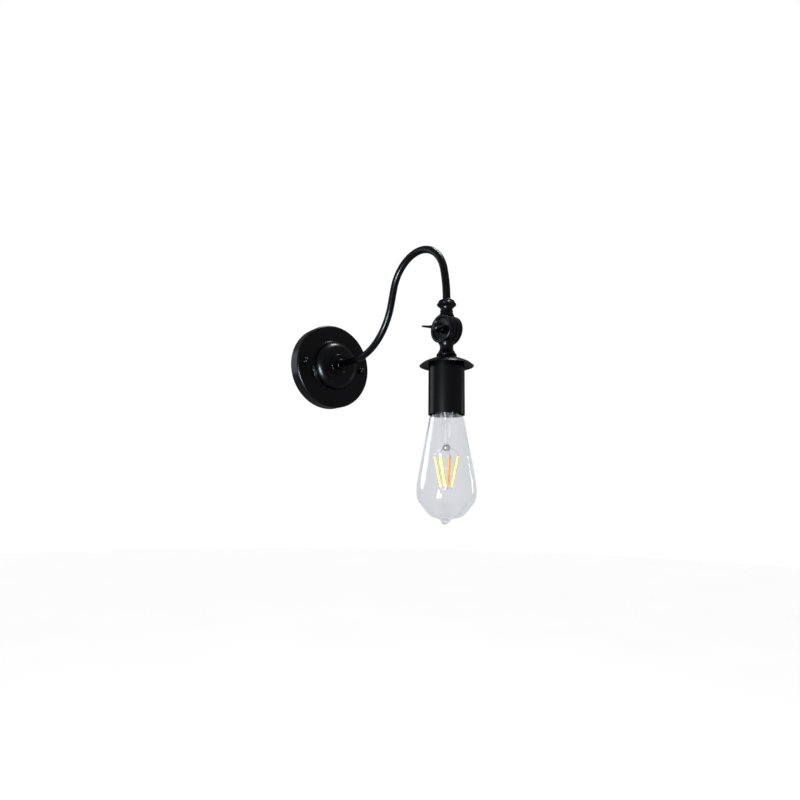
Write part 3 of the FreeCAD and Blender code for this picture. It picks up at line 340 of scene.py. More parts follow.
# %% Zinc, brass, bronze, nickel, wire
METALS = {
    "zinc_steel": ((0.52, 0.54, 0.57), (0.68, 0.69, 0.71), 0.30, 0.46),
    "brass": ((0.58, 0.40, 0.16), (0.76, 0.57, 0.27), 0.20, 0.36),
    "bronze": ((0.52, 0.30, 0.16), (0.68, 0.43, 0.24), 0.24, 0.40),
    "cap_nickel": ((0.60, 0.60, 0.59), (0.74, 0.74, 0.72), 0.18, 0.32),
    "solder": ((0.46, 0.47, 0.49), (0.66, 0.67, 0.68), 0.34, 0.50),
    "silvered": ((0.26, 0.26, 0.27), (0.62, 0.62, 0.63), 0.10, 0.24),
    "black_zinc": ((0.020, 0.020, 0.022), (0.045, 0.045, 0.048), 0.30, 0.42),
    "wire": ((0.48, 0.48, 0.49), (0.70, 0.70, 0.70), 0.18, 0.30),
}
for slot_name, (shaded, bright, smooth, rough) in METALS.items():
    metal = Finish(slot_name, Metallic=1.0)
    metal.colour(metal.grain(6.0, 4.0), [(0.3, shaded), (0.7, bright)])
    metal.uneven("Roughness", metal.grain(1.6, 3.0), smooth, rough)
    metal.relief(metal.grain(0.35, 2.0), 0.004, 0.6)
print("metals mixed:", ", ".join(METALS))

# %% [markdown]
# ### Mouldings and insulation
# Nylon is milky and lets a little light in, pressed fibre is mottled, the lampholder's phenolic is a
# brown-black with a faint flow pattern, and PVC has a soft sheen. They differ in colour, in how rough they
# are and in the size of their mottle, so one table and one loop mix them all.

# %% Plastics, fibre and board
MOULDINGS = {
    "nylon_white": ((0.72, 0.72, 0.68), (0.84, 0.84, 0.80), 5.0, 0.38, 0.52),
    "fibre": ((0.020, 0.017, 0.015), (0.042, 0.036, 0.032), 1.1, 0.70, 0.90),
    "flex_sheath": ((0.018, 0.018, 0.020), (0.035, 0.035, 0.038), 3.0, 0.42, 0.58),
    "core_pvc": ((0.13, 0.048, 0.020), (0.20, 0.075, 0.032), 3.0, 0.30, 0.42),
    "phenolic": ((0.014, 0.011, 0.010), (0.032, 0.025, 0.021), 4.0, 0.36, 0.52),
    "cap_glass": ((0.008, 0.008, 0.010), (0.018, 0.018, 0.022), 2.0, 0.10, 0.18),
    "board": ((0.66, 0.67, 0.62), (0.78, 0.79, 0.74), 2.5, 0.40, 0.55),
}
for slot_name, (shaded, bright, mottle_mm, smooth, rough) in MOULDINGS.items():
    moulding = Finish(slot_name)
    moulding.colour(moulding.grain(mottle_mm, 4.0), [(0.32, shaded), (0.68, bright)])
    moulding.uneven("Roughness", moulding.grain(mottle_mm * 0.4, 2.0), smooth, rough)
    moulding.relief(moulding.grain(0.5, 3.0), 0.01, 0.5)
nylon = finishes["nylon_white"].node_tree.nodes["Principled BSDF"]
nylon.inputs["Subsurface Weight"].default_value = 0.15
nylon.inputs["Subsurface Radius"].default_value = (MM, MM, MM)
print("mouldings mixed:", ", ".join(MOULDINGS))

# %% [markdown]
# ### Two colours of one kind
# The two mains cores are the same wire in two colours, brown and blue, and the earth core is green with a
# yellow stripe that winds round it. The stripe reads a number that the lead's own mesh will carry, and that
# comes and goes once in each turn as it climbs.

# %% Blue core and striped earth core
blue = Finish("core_blue")
blue.colour(blue.grain(3.0, 4.0), [(0.32, (0.016, 0.07, 0.26)), (0.68, (0.028, 0.11, 0.36))])
blue.uneven("Roughness", blue.grain(1.2, 2.0), 0.30, 0.42)
striped = Finish("earth_pvc")
wound = striped.node("ShaderNodeAttribute", attribute_name="wound")
striped.colour(wound.outputs["Fac"], [(0.49, (0.05, 0.24, 0.04)), (0.51, (0.72, 0.60, 0.06))])
striped.uneven("Roughness", striped.grain(1.2, 2.0), 0.30, 0.42)
print("cores mixed")

# %% [markdown]
# ### Clear glass
# A bulb's glass is a thin skin, so most of it is nearly invisible and its outline is drawn by the edge,
# where we look along the wall and through many millimetres of glass. A little absorption inside the wall
# gives just that: almost none straight through, and a grey band at the rim. Lamps reach the filaments
# because the glass casts no shadow of its own.

# %% Blown glass
def mix_glass(slot, density, roughness):
    """Glass with a slight absorption per metre, that lets lamps shine through."""
    glass = Finish(slot, Transmission_Weight=1.0, IOR=1.5, Roughness=roughness, Specular_IOR_Level=0.3)
    glass.shader.inputs["Base Color"].default_value = (1.0, 1.0, 1.0, 1.0)
    glass.relief(glass.grain(18.0, 1.0), 0.010, 0.3)
    absorb = glass.node("ShaderNodeVolumeAbsorption")
    absorb.inputs["Color"].default_value = (0.785, 0.795, 0.825, 1.0)
    absorb.inputs["Density"].default_value = density
    clear = glass.node("ShaderNodeBsdfTransparent")
    ray = glass.node("ShaderNodeLightPath")
    mix = glass.node("ShaderNodeMixShader")
    output = glass.tree.nodes["Material Output"]
    glass.link(ray.outputs["Is Shadow Ray"], mix.inputs["Fac"])
    glass.link(glass.shader.outputs["BSDF"], mix.inputs[1])
    glass.link(clear.outputs["BSDF"], mix.inputs[2])
    glass.link(mix.outputs["Shader"], output.inputs["Surface"])
    glass.link(absorb.outputs["Volume"], output.inputs["Volume"])


mix_glass("clear_glass", density=1150.0, roughness=0.0)
mix_glass("stem_glass", density=60.0, roughness=0.07)
print("glass mixed")

# %% [markdown]
# ### Phosphor
# Each filament is a row of tiny blue chips on a strip, hidden under yellow silicone filled with phosphor.
# Switched off it is the colour of egg yolk on the chips' side, and orange on the back, where the strip shows.

# %% Yellow phosphor coat
phosphor = Finish("phosphor", Specular_IOR_Level=0.0)
inward = phosphor.node("ShaderNodeAttribute", attribute_name="inward")
phosphor.colour(inward.outputs["Fac"], [(0.74, (0.82, 0.69, 0.17)), (0.90, (0.74, 0.26, 0.05))])
phosphor.uneven("Roughness", phosphor.grain(0.8, 2.0), 0.35, 0.50)
phosphor.relief(phosphor.grain(1.0, 2.0), 0.05, 0.5)
print("phosphor mixed")

# %% [markdown]
# ### Dress the frame's own solids
# The record says which slot each solid takes its finish from. Every solid gets it here, also those that a
# finer piece will stand for later, so that nothing is ever left bare.

# %% Put each slot's finish on its solids
for subpart in frame["record"]["subparts"]:
    solid = frame["nodes"][subpart["node"]]
    solid.data.materials.clear()
    solid.data.materials.append(finishes[subpart["material_slot"]])
frame["nodes"]["wing_washer"].data.materials[0] = finishes["black_zinc"]

# %% [markdown]
# ## The bulb's envelope
# The envelope is blown into a mould, so its outline flows without a corner from the neck to the pip at the
# bottom, where the air was drawn out and the tube melted shut. A lathe outline made of arcs has small
# jumps in curvature that glass reflections show up, so the line is relaxed a little before it is spun, and
# the inside is the same line moved in by the wall. What remains between is real glass with two faces.

# %% Relax a line and find its inside
def relaxed(line, passes):
    """The open line with each inner point drawn towards its neighbours, ends kept."""
    line = [point.copy() for point in line]
    for _ in range(passes):
        inner = [b * 0.5 + (a + c) * 0.25 for a, b, c in zip(line, line[1:], line[2:])]
        line = [line[0]] + inner + [line[-1]]
    return line


def even(line, step):
    """Points along the line at an even step."""
    out = [line[0].copy()]
    left = step
    for a, b in zip(line, line[1:]):
        length = (b - a).length
        at = left
        while at < length:
            out.append(a.lerp(b, at / length))
            at += step
        left = at - length
    return out + [line[-1].copy()]


def moved_in(line, wall):
    """The line moved towards the axis side by a wall thickness."""
    out = []
    for i, point in enumerate(line):
        ahead = line[min(i + 1, len(line) - 1)] - line[max(i - 1, 0)]
        normal = Vector((ahead.y, -ahead.x)).normalized()
        out.append(Vector((max(0.0, point.x + normal.x * wall), point.y + normal.y * wall)))
    return out


straight = [Vector((0.0, 0.0)), Vector((0.0, 10.0))]
print("10 mm at an even 0.5 mm is", len(even(straight, 0.5)), "points")

# %% Blow the glass
LINE_STEP = 0.5
BULB_END = -215.0
PIP_LEAN = Vector((-0.77, 0.63, 0.0)) * 2.2 * MM
PIP_TOP = PIVOT.z - 205.0 * MM
PIP_LENGTH = 10.0 * MM
GLASS_WALL = 0.75
INSIDE_END = -214.1
ENVELOPE = [
    (11.8, -88.5), (11.8, -93.6, 2.0), (18.6, -98.0, 5.0), (32.35, -174.0, 60.0), (32.0, -189.5, 18.0),
    (17.5, -207.0, 12.0), (5.6, -210.0, 4.0), (3.2, BULB_END, 2.6), (0.0, BULB_END),
]
outside_line = relaxed(even(rounded(ENVELOPE, steps=12), LINE_STEP), passes=14)
inside_line = [p for p in moved_in(outside_line, GLASS_WALL) if p.y > INSIDE_END + 0.1]
inside_line += [Vector((0.0, INSIDE_END))]
envelope = lathe("blown_envelope", outside_line + inside_line[::-1], sides=128, sharp=60.0)
for vertex in envelope.data.vertices:
    share = min(1.0, max(0.0, (PIP_TOP - vertex.co.z) / PIP_LENGTH))
    vertex.co += PIP_LEAN * share * share
hand_over(envelope, "clear_glass", "bulb", "bulb_glass")

# %% [markdown]
# ## The stem inside the bulb
# The stem is a glass flare sealed to the neck, drawn out into a tube that closes above a bright bead. Two
# lead-in wires run down inside it. A solid glass rod goes on from the bead and carries the filaments' lower
# ends. The flare is hollow, with two faces like the envelope, because thin glass shows as upright lines
# with nothing between them, where a solid stem would be one dark bar.

# %% Flare, tube, rod and bead
BEAD_Z = -133.4
BEAD_RADIUS, BEAD_HALF = 4.6, 3.2
FILAMENT_LOW = -175.5
ROD_RADIUS = 1.4
ROD_TOP, ROD_END = BEAD_Z - 1.0, FILAMENT_LOW - 2.5
STEM_WALL = 0.8
STEM_TIP = BEAD_Z + 2.4
FLARE = [
    (11.0, -90.5), (9.0, -92.6, 3.0), (6.0, -101.0, 9.0), (5.4, -122.0, 10.0), (4.7, -128.6, 2.5),
    (0.0, STEM_TIP),
]
flare_line = relaxed(even(rounded(FLARE), LINE_STEP), passes=8)
flare_inside = [p for p in moved_in(flare_line, STEM_WALL) if p.x > 0.9]
flare_inside += [Vector((0.0, BEAD_Z + 3.3))]
stem = lathe("glass_stem", flare_line + flare_inside[::-1], sides=64, sharp=60.0)
ROD_LINE = [(0.0, ROD_TOP), (ROD_RADIUS, ROD_TOP), (ROD_RADIUS, ROD_END, 1.2), (0.0, ROD_END)]
rod = lathe("glass_rod", rounded(ROD_LINE), sides=32)
stem_and_rod = as_one("stem_and_rod", [stem, rod], sharp=60.0)
stem_and_rod.data.materials.append(finishes["stem_glass"])
hand_over(stem_and_rod, "clear_glass", "bulb", "bulb_stem")
BEAD = [
    (ROD_RADIUS, BEAD_Z + BEAD_HALF, 0.5), (BEAD_RADIUS, BEAD_Z + BEAD_HALF, 2.9),
    (BEAD_RADIUS, BEAD_Z - BEAD_HALF, 2.9), (ROD_RADIUS, BEAD_Z - BEAD_HALF, 0.5),
]
hand_over(lathe("bright_bead", rounded(BEAD, steps=10), sides=64), "silvered", "bulb", "stem_bead")

# %% [markdown]
# ## Leads, wires and other long round pieces
# A wire is a circle carried along a path. The circle is turned from one point to the next by the least
# turn that follows the path, so it never twists, and the corners of the path are eased into arcs first.
# Each point also keeps a number that winds round the wire, for the stripe of the earth core.

# %% Carry a circle along a path
STRIPE_CLIMB = 9.0


def bent(points, bend_mm, steps=8):
    """A path through the points whose inner corners are eased into arcs."""
    path = [points[0]]
    for before, here, after in zip(points, points[1:], points[2:]):
        path += eased(before, here, after, bend_mm * MM, steps)
    return path + [points[-1]]


def wire(name, path, radius_mm, sides=16):
    """A round wire with closed ends along a path."""
    ahead = (path[1] - path[0]).normalized()
    across = ahead.orthogonal().normalized()
    rings, numbers, length = [[path[0]]], [1.0], 0.0
    for i, point in enumerate(path):
        towards = (path[min(i + 1, len(path) - 1)] - path[max(i - 1, 0)]).normalized()
        across = (ahead.rotation_difference(towards) @ across).normalized()
        ahead = towards
        length += (point - path[i - 1]).length if i else 0.0
        rings.append(ring_at(point, across, ahead.cross(across), radius_mm * MM, sides))
        wound = length / (STRIPE_CLIMB * MM)
        numbers += [0.5 + 0.5 * math.cos(math.tau * (k / sides - wound)) for k in range(sides)]
    rings.append([path[-1]])
    mesh_data = skin(rings, closed=False)
    layer = mesh_data.verts.layers.float.new("wound")
    for vertex, value in zip(list(mesh_data.verts), numbers + [1.0]):
        vertex[layer] = value
    return as_piece(name, mesh_data, 50.0)


print("wires ready, with a stripe that climbs", STRIPE_CLIMB, "mm a turn")

# %% [markdown]
# ## Filaments
# Four strips hang from the bead like a slim basket. Each strip carries its row of chips on the outer face,
# where the yellow coat is thick; seen from inside it is thinner and more orange. Plain metal tabs stick out
# of both ends, and stiff wires hold them: hooks from the bead above and short links to the rod below.

# %% Shape one strip
STRIP_SIDES, STRIP_STEPS = 20, 12
END_FATNESS = 0.35


def spoke(turn, reach, z):
    """A place this far from the bulb's axis in a direction, at a height below the pivot."""
    return from_pivot(reach * math.cos(turn), reach * math.sin(turn), z)


def strip(name, top, low, wide, deep, inner, ends):
    """A flat round-edged strip between two places, slimmer over its end millimetres."""
    ahead = (low - top).normalized()
    side = ahead.cross(inner).normalized()
    facing = side.cross(ahead).normalized()
    length = (low - top).length / MM
    near_end = [0.0, 0.15 * ends, 0.5 * ends, ends]
    between = [length * k / STRIP_STEPS for k in range(1, STRIP_STEPS)]
    rings, numbers = [[top]], [0.0]
    for at in near_end + between + [length - step for step in reversed(near_end)]:
        near = min(1.0, min(at, length - at) / ends) if ends else 1.0
        fat = END_FATNESS + (1.0 - END_FATNESS) * math.sqrt(max(0.0, 1.0 - (1.0 - near) ** 2))
        ring = []
        for k in range(STRIP_SIDES):
            turn = math.tau * k / STRIP_SIDES
            ring.append(top + ahead * (at * MM) + side * (wide * fat * MM * math.cos(turn))
                        + facing * (deep * fat * MM * math.sin(turn)))
            numbers.append(0.5 + 0.5 * math.sin(turn))
        rings.append(ring)
    rings.append([low])
    mesh_data = skin(rings, closed=False)
    layer = mesh_data.verts.layers.float.new("inward")
    for vertex, value in zip(list(mesh_data.verts), numbers + [0.0]):
        vertex[layer] = value
    return as_piece(name, mesh_data, 60.0)


print("strips have", STRIP_SIDES, "sides")

# %% Hang four coated strips
FILAMENT_TURN = math.radians(24.6)
FAN = [FILAMENT_TURN + k * math.pi / 2 for k in range(4)]
# Degrees that the upper end, the lower end and the flat face of each strip are turned from an even fan.
TWIST = [(4.0, 6.0, 21.0), (0.0, 0.0, 35.0), (-7.0, 9.0, 0.0), (0.0, 0.0, 0.0)]
TOP_REACH, LOW_REACH, FILAMENT_TOP = 13.6, 6.3, -142.5
COAT_WIDE, COAT_DEEP, COAT_END = 1.55, 1.2, 0.9
TAB_WIDE, TAB_DEEP, TAB_LONG = 0.75, 0.28, 2.6
HOOK_WIRE, LEAD_IN_WIRE, WIRE_SIDES = 0.36, 0.3, 10

coats, tabs, hooks, links = [], [], [], []
for turn, (twist_high, twist_low, roll) in zip(FAN, TWIST):
    high_turn, low_turn = turn + math.radians(twist_high), turn + math.radians(twist_low)
    high_end = spoke(high_turn, TOP_REACH, FILAMENT_TOP)
    low_end = spoke(low_turn, LOW_REACH, FILAMENT_LOW)
    down = (low_end - high_end).normalized()
    back_turn = turn + math.pi + math.radians(roll)
    to_axis = Vector((math.cos(back_turn), math.sin(back_turn), 0.0))
    coats.append(strip("coat", high_end, low_end, COAT_WIDE, COAT_DEEP, to_axis, COAT_END))
    for end, way in ((high_end, -down), (low_end, down)):
        tab_end = end + way * (TAB_LONG * MM)
        tabs.append(strip("tab", end - way * MM, tab_end, TAB_WIDE, TAB_DEEP, to_axis, 0.0))
    bead_side = spoke(high_turn, 3.9, BEAD_Z - 1.0)
    shoulder = spoke(high_turn, 9.0, BEAD_Z - 2.0)
    tab_top = high_end - down * (TAB_LONG - 0.4) * MM
    hook = bent([bead_side, shoulder, tab_top, high_end - down * 0.4 * MM], 1.0)
    hooks.append(wire("hook", hook, HOOK_WIRE, WIRE_SIDES))
    rod_side = spoke(low_turn, ROD_RADIUS - 0.3, FILAMENT_LOW - 1.6)
    elbow = spoke(low_turn, 3.6, FILAMENT_LOW - 3.2)
    tab_low = low_end + down * (TAB_LONG - 0.6) * MM
    links.append(wire("link", bent([rod_side, elbow, tab_low], 0.9), HOOK_WIRE, WIRE_SIDES))
hand_over(as_one("filament_coats", coats, sharp=60.0), "phosphor", "bulb", "led_filaments")
hand_over(as_one("filament_tabs", tabs), "wire", "bulb")

# %% Lead the current in and out
for x, y in ((-1.2, 1.0), (2.8, -2.3)):
    lead_in = [
        from_pivot(0.6 * x, 0.6 * y, -84.0), from_pivot(x, y, -96.0), from_pivot(x, y, -124.0),
        from_pivot(0.7 * x, 0.7 * y, BEAD_Z + 1.0),
    ]
    hooks.append(wire("lead_in", bent(lead_in, 4.0), LEAD_IN_WIRE, WIRE_SIDES))
hand_over(as_one("hooks_and_lead_ins", hooks, sharp=60.0), "wire", "bulb", "filament_hooks")
hand_over(as_one("rod_links", links, sharp=60.0), "wire", "bulb", "filament_links")

# %% [markdown]
# ## Rolled threads
# The bulb's cap is thin sheet with a coarse thread rolled into it, and the holder's brass shell has the
# same thread, a little wider. A thread is a wave that climbs as it goes round, so each ring of points gets
# its radius from a cosine of height and angle together. Because cap and shell share that wave, they stay
# in mesh while the bulb is turned out. The studs behind the plate have a fine thread of the same kind.

# %% Roll a thread
STEPS_PER_TURN = 12


def thread_rings(groove, depth, pitch, low, high, centre, axis, sides, fade):
    """Rings whose radius climbs round the axis as a right-hand thread, smooth at both ends."""
    across, along = sideways(axis)
    steps = max(8, round((high - low) / pitch * STEPS_PER_TURN))
    rings = []
    for k in range(steps + 1):
        z = low + (high - low) * k / steps
        share = min(1.0, max(0.0, min(z - low, high - z) / fade))
        ring = []
        for j in range(sides):
            turn = math.tau * j / sides
            radius = groove + depth * (0.5 + 0.5 * share * math.cos(math.tau * z / pitch - turn))
            out = across * math.cos(turn) + along * math.sin(turn)
            ring.append(centre + axis * (z * MM) + out * (radius * MM))
        rings.append(ring)
    return rings


print("threads ready,", STEPS_PER_TURN, "rings to a turn")

# %% Roll the bulb's cap and the holder's shell
CAP_PITCH, CAP_DEPTH, CAP_SIDES = 3.63, 0.8, 96
CAP_RIM = [(11.8, -93.0), (12.2, -93.0)]
CAP_SHOULDER = [(11.6, -74.0), (9.8, -72.5), (9.5, -72.9), (11.2, -74.3)]
SHELL_RIM = [(12.7, -88.0), (13.05, -88.0)]
SHELL_FLOOR = [(13.0, -66.2), (12.6, -66.0), (9.0, -66.0), (9.0, -66.4), (12.4, -66.5)]


def rolled_sheet(name, groove, thick, low, high, low_line, high_line):
    """A threaded sheet tube with a turned line at either end, which closes the gap between its faces."""
    outside, inside = (
        thread_rings(radius, CAP_DEPTH, CAP_PITCH, low, high, PIVOT, UP, CAP_SIDES, CAP_PITCH)
        for radius in (groove, groove - thick))
    rings = outside + turned_rings(high_line) + inside[::-1] + turned_rings(low_line)
    return as_piece(name, skin(rings), 50.0)


cap = rolled_sheet("rolled_cap", 12.2, 0.4, -90.5, -75.2, CAP_RIM, CAP_SHOULDER)
hand_over(cap, "cap_nickel", "bulb", "bulb_cap")
shell = rolled_sheet("rolled_shell", 13.0, 0.35, -87.0, -68.0, SHELL_RIM, SHELL_FLOOR)
hand_over(shell, "brass", "head", "screw_shell")

# %% Fine threads on the studs
STUD_SPREAD, STUD_PITCH, STUD_SIDES = 47.0, 0.7, 20
STUD_GROOVE, STUD_DEPTH = 1.82, 0.18
STUD_FOOT = [(0.0, 0.05), (1.9, 0.05), (2.0, 0.2), (2.0, 1.9)]
STUD_LOW, STUD_HIGH = 2.0, 23.4
STUD_TIP = [(0.0, 23.45)]
studs = []
for side in (-1, 1):
    foot = Vector((side * STUD_SPREAD * MM, 0.0, 0.0))
    rings = turned_rings(STUD_FOOT, foot, -NORTH, STUD_SIDES)
    rings += thread_rings(
        STUD_GROOVE, STUD_DEPTH, STUD_PITCH, STUD_LOW, STUD_HIGH, foot, -NORTH, STUD_SIDES, fade=STUD_PITCH)
    rings += turned_rings(STUD_TIP, foot, -NORTH, STUD_SIDES)
    studs.append(as_piece("stud", skin(rings, closed=False), 50.0))
hand_over(as_one("threaded_studs", studs, sharp=50.0), "zinc_steel", "wall_side", "bracket_studs")

# %% [markdown]
# ## The wing screw
# The wing screw is a small casting: a waisted hub with two ears that sweep back, thick where they grow out
# of the hub and thin at the tips. The hub is turned like everything else. Each ear is a row of rounded
# sections, set one after another outwards, and its sections swell near the hub as a casting's do.

# %% Cast the wing screw
WING_TURN = math.radians(12.5)
EAR_SIDES, EAR_ROUNDNESS = 24, 0.7
ear_way = Vector((0.0, math.cos(WING_TURN), math.sin(WING_TURN)))
ear_thick = Vector((0.0, -math.sin(WING_TURN), math.cos(WING_TURN)))
HUB = [
    (0.0, -9.1), (2.5, -9.1, 0.5), (2.5, 7.9), (4.9, 7.9, 0.3), (4.9, 10.1, 0.5), (4.0, 11.1, 1.0),
    (4.0, 12.1, 1.0), (4.9, 13.3, 0.5), (4.9, 19.6, 2.0), (0.0, 19.6),
]
EAR = [
    (1.5, 11.6, 18.0, 6.4), (3.8, 12.4, 18.3, 6.0), (5.6, 13.2, 18.7, 4.9), (7.2, 14.2, 19.1, 3.7),
    (9.0, 15.2, 19.6, 3.0), (12.0, 16.7, 20.6, 2.6), (15.0, 18.1, 21.7, 2.3), (16.8, 19.0, 22.4, 2.1),
    (17.6, 19.6, 22.4, 1.8), (18.0, 20.4, 22.0, 1.0),
]


def ear(way):
    """One ear of the wing screw, out along a direction."""
    rings = []
    for reach, low, high, thick in EAR:
        middle = PIVOT + way * (reach * MM) + TO_WING * ((low + high) / 2 * MM)
        ring = []
        for k in range(EAR_SIDES):
            turn = math.tau * k / EAR_SIDES
            over, out = math.cos(turn), math.sin(turn)
            over = math.copysign(abs(over) ** EAR_ROUNDNESS, over) * (high - low) / 2
            out = math.copysign(abs(out) ** EAR_ROUNDNESS, out) * thick / 2
            ring.append(middle + TO_WING * (over * MM) + ear_thick * (out * MM))
        rings.append(ring)
    tip = sum(rings[-1], Vector()) / EAR_SIDES
    root = sum(rings[0], Vector()) / EAR_SIDES
    return as_piece("ear", skin([[root]] + rings + [[tip]], closed=False), 60.0)


hub = lathe("hub", rounded(HUB), PIVOT, TO_WING, 64)
wing_screw = as_one("cast_wing_screw", [hub, ear(ear_way), ear(-ear_way)], sharp=60.0)
hand_over(wing_screw, "black_enamel", "wing", "wing_screw")

# %% [markdown]
# ## Flex and cores
# Behind the plate the brown and the blue core leave the terminal block and go into the black flex, which
# runs inside the arm. Past the knuckle they reach the lampholder; they stop at either side of its pin, so
# that nothing soft crosses the joint. The earth core goes from the block to a tag under the earth screw.
# All of them are soft, so they bend in arcs and never at a corner.

# %% Lay the leads
CORE_RADIUS = 0.95
for colour, finish, side in (("brown", "core_pvc", -1), ("blue", "core_blue", 1)):
    beside = 1.25 * side
    from_block = [
        on_wall(9 * side, -22, 9), on_wall(9 * side, -11, 9),
        on_wall(beside, 0, 10.5), on_wall(beside, 0, 19.5),
    ]
    into_knuckle = [
        from_pivot(2.2, beside, 24.6), from_pivot(2.2, beside, 11.2), from_pivot(2.2, 6.6 * side, 1.0),
    ]
    into_holder = [
        from_pivot(-2.2, 6.6 * side, -1.0), from_pivot(-2.2, beside, -11.2), from_pivot(-2.2, beside, -14.2),
        from_pivot(0, beside, -22.4), from_pivot(0, beside, -57.0), from_pivot(0, 11.0 * side, -57.0),
    ]
    for place, path, bend, body, node in (
        ("supply", from_block, 5.0, "wall_side", "supply_cores"),
        ("arm", into_knuckle, 5.0, "wall_side", "arm_cores"),
        ("head", into_holder, 2.5, "head", "head_cores"),
    ):
        core = wire(f"{place}_{colour}", bent(path, bend), CORE_RADIUS)
        core.data.materials.append(finishes[finish])
        hand_over(core, "core_pvc", body, node)
earth_path = [on_wall(0, -22, 9), on_wall(0, -12, 9), on_wall(13.5, -13.5, 3.25), on_wall(13.5, -7.8, 3.25)]
hand_over(wire("earth_lead", bent(earth_path, 4.0), CORE_RADIUS, 24), "earth_pvc", "wall_side", "earth_core")

# %% Run the flex through the arm
FLEX_RADIUS = 2.5
arch_end = on_wall(0, 76.81, 245.62)
flex_path = [on_wall(0, 0, 19.5)]
flex_path += arc(on_wall(0, 78.65, 71.66), on_wall(0, 0, 71.66), on_wall(0, 58.56, 147.70), 24)
flex_path += arc(on_wall(0, 65.9, 199.08), on_wall(0, 78.11, 152.87), arch_end, 40)
flex_path += arc(on_wall(0, 37.2, 76.6), arch_end, on_wall(0, 37.2, 250.2), 10)[1:]
flex_path += [on_wall(0, 26.6, 250.2)]
hand_over(wire("flex_in_arm", flex_path, FLEX_RADIUS, 24), "flex_sheath", "wall_side", "arm_flex")

# %% [markdown]
# ## The world, the floor and the lamps
# The photograph is cut out on plain white. The world is therefore white wherever the camera, a reflection
# or a view through glass looks at it, and a plain soft level for the light it gives. A pale floor lies far
# below, out of the photograph's frame but there for shadows in other views. Three soft lamps give the plain
# light. Four glints, which show only in reflections, draw the long cold highlights.

# %% White surround
SKY_LIGHT = 0.45


def white_for_eyes(tree, plain, bright):
    """Mixes a bright shader in for camera, glossy and transmission rays."""
    ray = tree.nodes.new("ShaderNodeLightPath")
    seen = ray.outputs["Is Camera Ray"]
    for kind in ("Is Glossy Ray", "Is Transmission Ray"):
        either = tree.nodes.new("ShaderNodeMath")
        either.operation = "MAXIMUM"
        tree.links.new(seen, either.inputs[0])
        tree.links.new(ray.outputs[kind], either.inputs[1])
        seen = either.outputs[0]
    mix = tree.nodes.new("ShaderNodeMixShader")
    tree.links.new(seen, mix.inputs["Fac"])
    tree.links.new(plain, mix.inputs[1])
    tree.links.new(bright, mix.inputs[2])
    return mix.outputs["Shader"]


world = bpy.data.worlds.new("studio")
bpy.context.scene.world = world
world.use_nodes = True
sky = world.node_tree.nodes["Background"]
sky.inputs["Color"].default_value = (1.0, 1.0, 1.0, 1.0)
sky.inputs["Strength"].default_value = SKY_LIGHT
backdrop = world.node_tree.nodes.new("ShaderNodeBackground")
backdrop.inputs["Strength"].default_value = 1.0
backdrop.inputs["Color"].default_value = (1.0, 1.0, 1.0, 1.0)
surround = white_for_eyes(world.node_tree, sky.outputs["Background"], backdrop.outputs["Background"])
world.node_tree.links.new(surround, world.node_tree.nodes["World Output"].inputs["Surface"])
print("surround is white, light level", SKY_LIGHT)

# %% Pale floor
FLOOR_HEIGHT = -0.75
FLOOR_RADIUS = 6.0
FLOOR_LIFT = 0.52
floor_mesh = bmesh.new()
bmesh.ops.create_circle(floor_mesh, cap_ends=True, radius=FLOOR_RADIUS, segments=96)
floor = as_piece("studio_floor", floor_mesh)
floor.location.z = FLOOR_HEIGHT
floor_paint = Finish("pale_floor", Roughness=0.9)
floor_paint.colour(floor_paint.grain(400.0), [(0.3, (0.90, 0.90, 0.90)), (0.7, (0.94, 0.94, 0.94))])
lift = floor_paint.node("ShaderNodeEmission")
lift.inputs["Strength"].default_value = FLOOR_LIFT
raised = floor_paint.node("ShaderNodeAddShader")
floor_paint.link(floor_paint.shader.outputs["BSDF"], raised.inputs[0])
floor_paint.link(lift.outputs["Emission"], raised.inputs[1])
floor_look = white_for_eyes(floor_paint.tree, floor_paint.shader.outputs["BSDF"], raised.outputs["Shader"])
floor_paint.link(floor_look, floor_paint.tree.nodes["Material Output"].inputs["Surface"])
floor.data.materials.append(floor_paint.material)
print("floor at", FLOOR_HEIGHT, "m")

# %% Three soft lamps and four glints
LIT_POINT = Vector((0.0, -0.22, -0.03))
FROM_LEFT, FROM_TOP = (-0.86, -0.30, -0.42), (0.26, 0.04, 0.96)
FROM_RIGHT, FROM_WALL = (0.95, -0.30, 0.0), (-0.50, 0.84, 0.20)


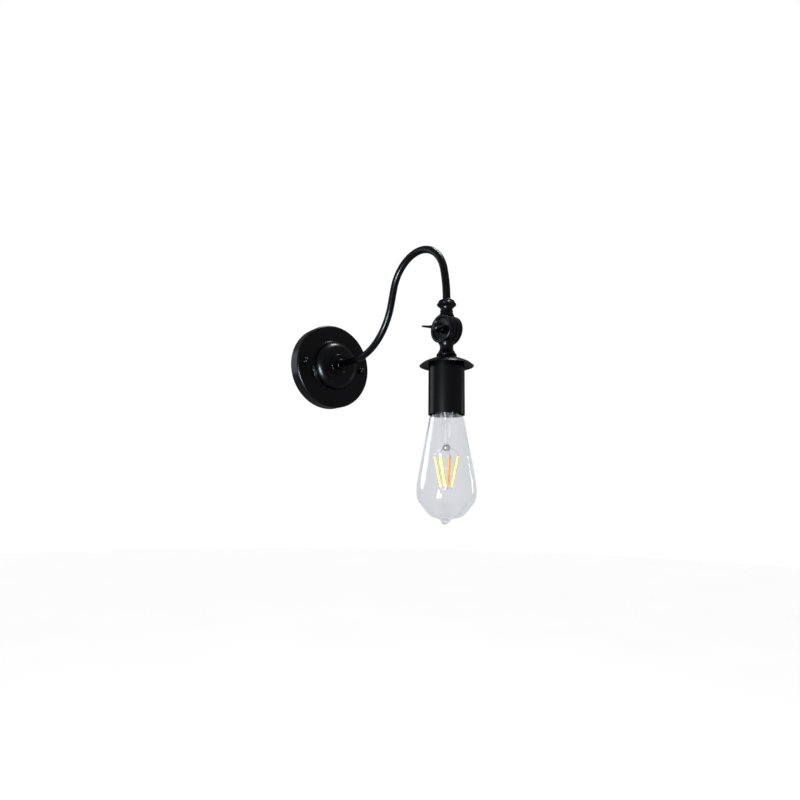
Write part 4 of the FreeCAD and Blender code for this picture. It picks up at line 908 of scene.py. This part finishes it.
def soft_lamp(name, towards, distance, width, height, watts, tint, glint=False):
    """An area lamp in a direction from the lit point, facing it; a glint only shows in reflections."""
    data = bpy.data.lights.new(name, "AREA")
    data.shape = "ELLIPSE"
    data.size, data.size_y = width, height
    data.energy = watts
    data.color = tint
    lamp = bpy.data.objects.new(name, data)
    bpy.context.scene.collection.objects.link(lamp)
    direction = Vector(towards).normalized()
    lamp.location = LIT_POINT + direction * distance
    lamp.rotation_mode = "QUATERNION"
    lamp.rotation_quaternion = (-direction).to_track_quat("-Z", "Y")
    lamp.visible_camera = False
    lamp.visible_transmission = False
    lamp.visible_diffuse = not glint
    return lamp


soft_lamp("left_window", FROM_LEFT, 1.3, 0.14, 0.75, 5.0, (0.86, 0.91, 1.0))
glass_glint = soft_lamp("glass_glint", FROM_LEFT, 1.3, 0.26, 0.90, 80.0, (0.92, 0.96, 1.0), glint=True)
left_glint = soft_lamp("left_glint", FROM_LEFT, 1.3, 0.30, 0.90, 300.0, (0.80, 0.87, 1.0), glint=True)
soft_lamp("top_box", FROM_TOP, 1.2, 0.26, 0.20, 3.7, (0.95, 0.97, 1.0))
top_glint = soft_lamp("top_glint", FROM_TOP, 1.2, 0.42, 0.26, 60.0, (0.95, 0.97, 1.0), glint=True)
soft_lamp("right_edge", FROM_RIGHT, 1.4, 0.06, 0.50, 2.4, (0.90, 0.95, 1.0))
wall_bounce = soft_lamp("wall_bounce", FROM_WALL, 1.6, 0.9, 0.9, 12.0, (0.84, 0.88, 1.0), glint=True)

# %% [markdown]
# The glints are there for black enamel and for clear glass, which give back little of the light that falls
# on them, and for the small bead and thin wires in the glass. On the broad bare metal of the screw cap or
# of the bracket the same glints would be a white glare. Light linking gives each its own few finishes.

# %% Keep each glint on its own finishes
def only_on(lamp, *slots):
    """Lets a lamp reach only the pieces with these finishes."""
    takers = bpy.data.collections.new(lamp.name + "_takers")
    wanted = [finishes[slot] for slot in slots]
    for piece in bpy.data.objects:
        if piece.type == "MESH" and piece.data.materials and piece.data.materials[0] in wanted:
            takers.objects.link(piece)
    lamp.light_linking.receiver_collection = takers


only_on(left_glint, "black_enamel")
only_on(top_glint, "black_enamel")
only_on(wall_bounce, "black_enamel", "clear_glass", "stem_glass", "wire")
only_on(glass_glint, "clear_glass", "stem_glass", "silvered", "wire")

# %% Finish with the view transform
bpy.context.scene.view_settings.view_transform = "Standard"
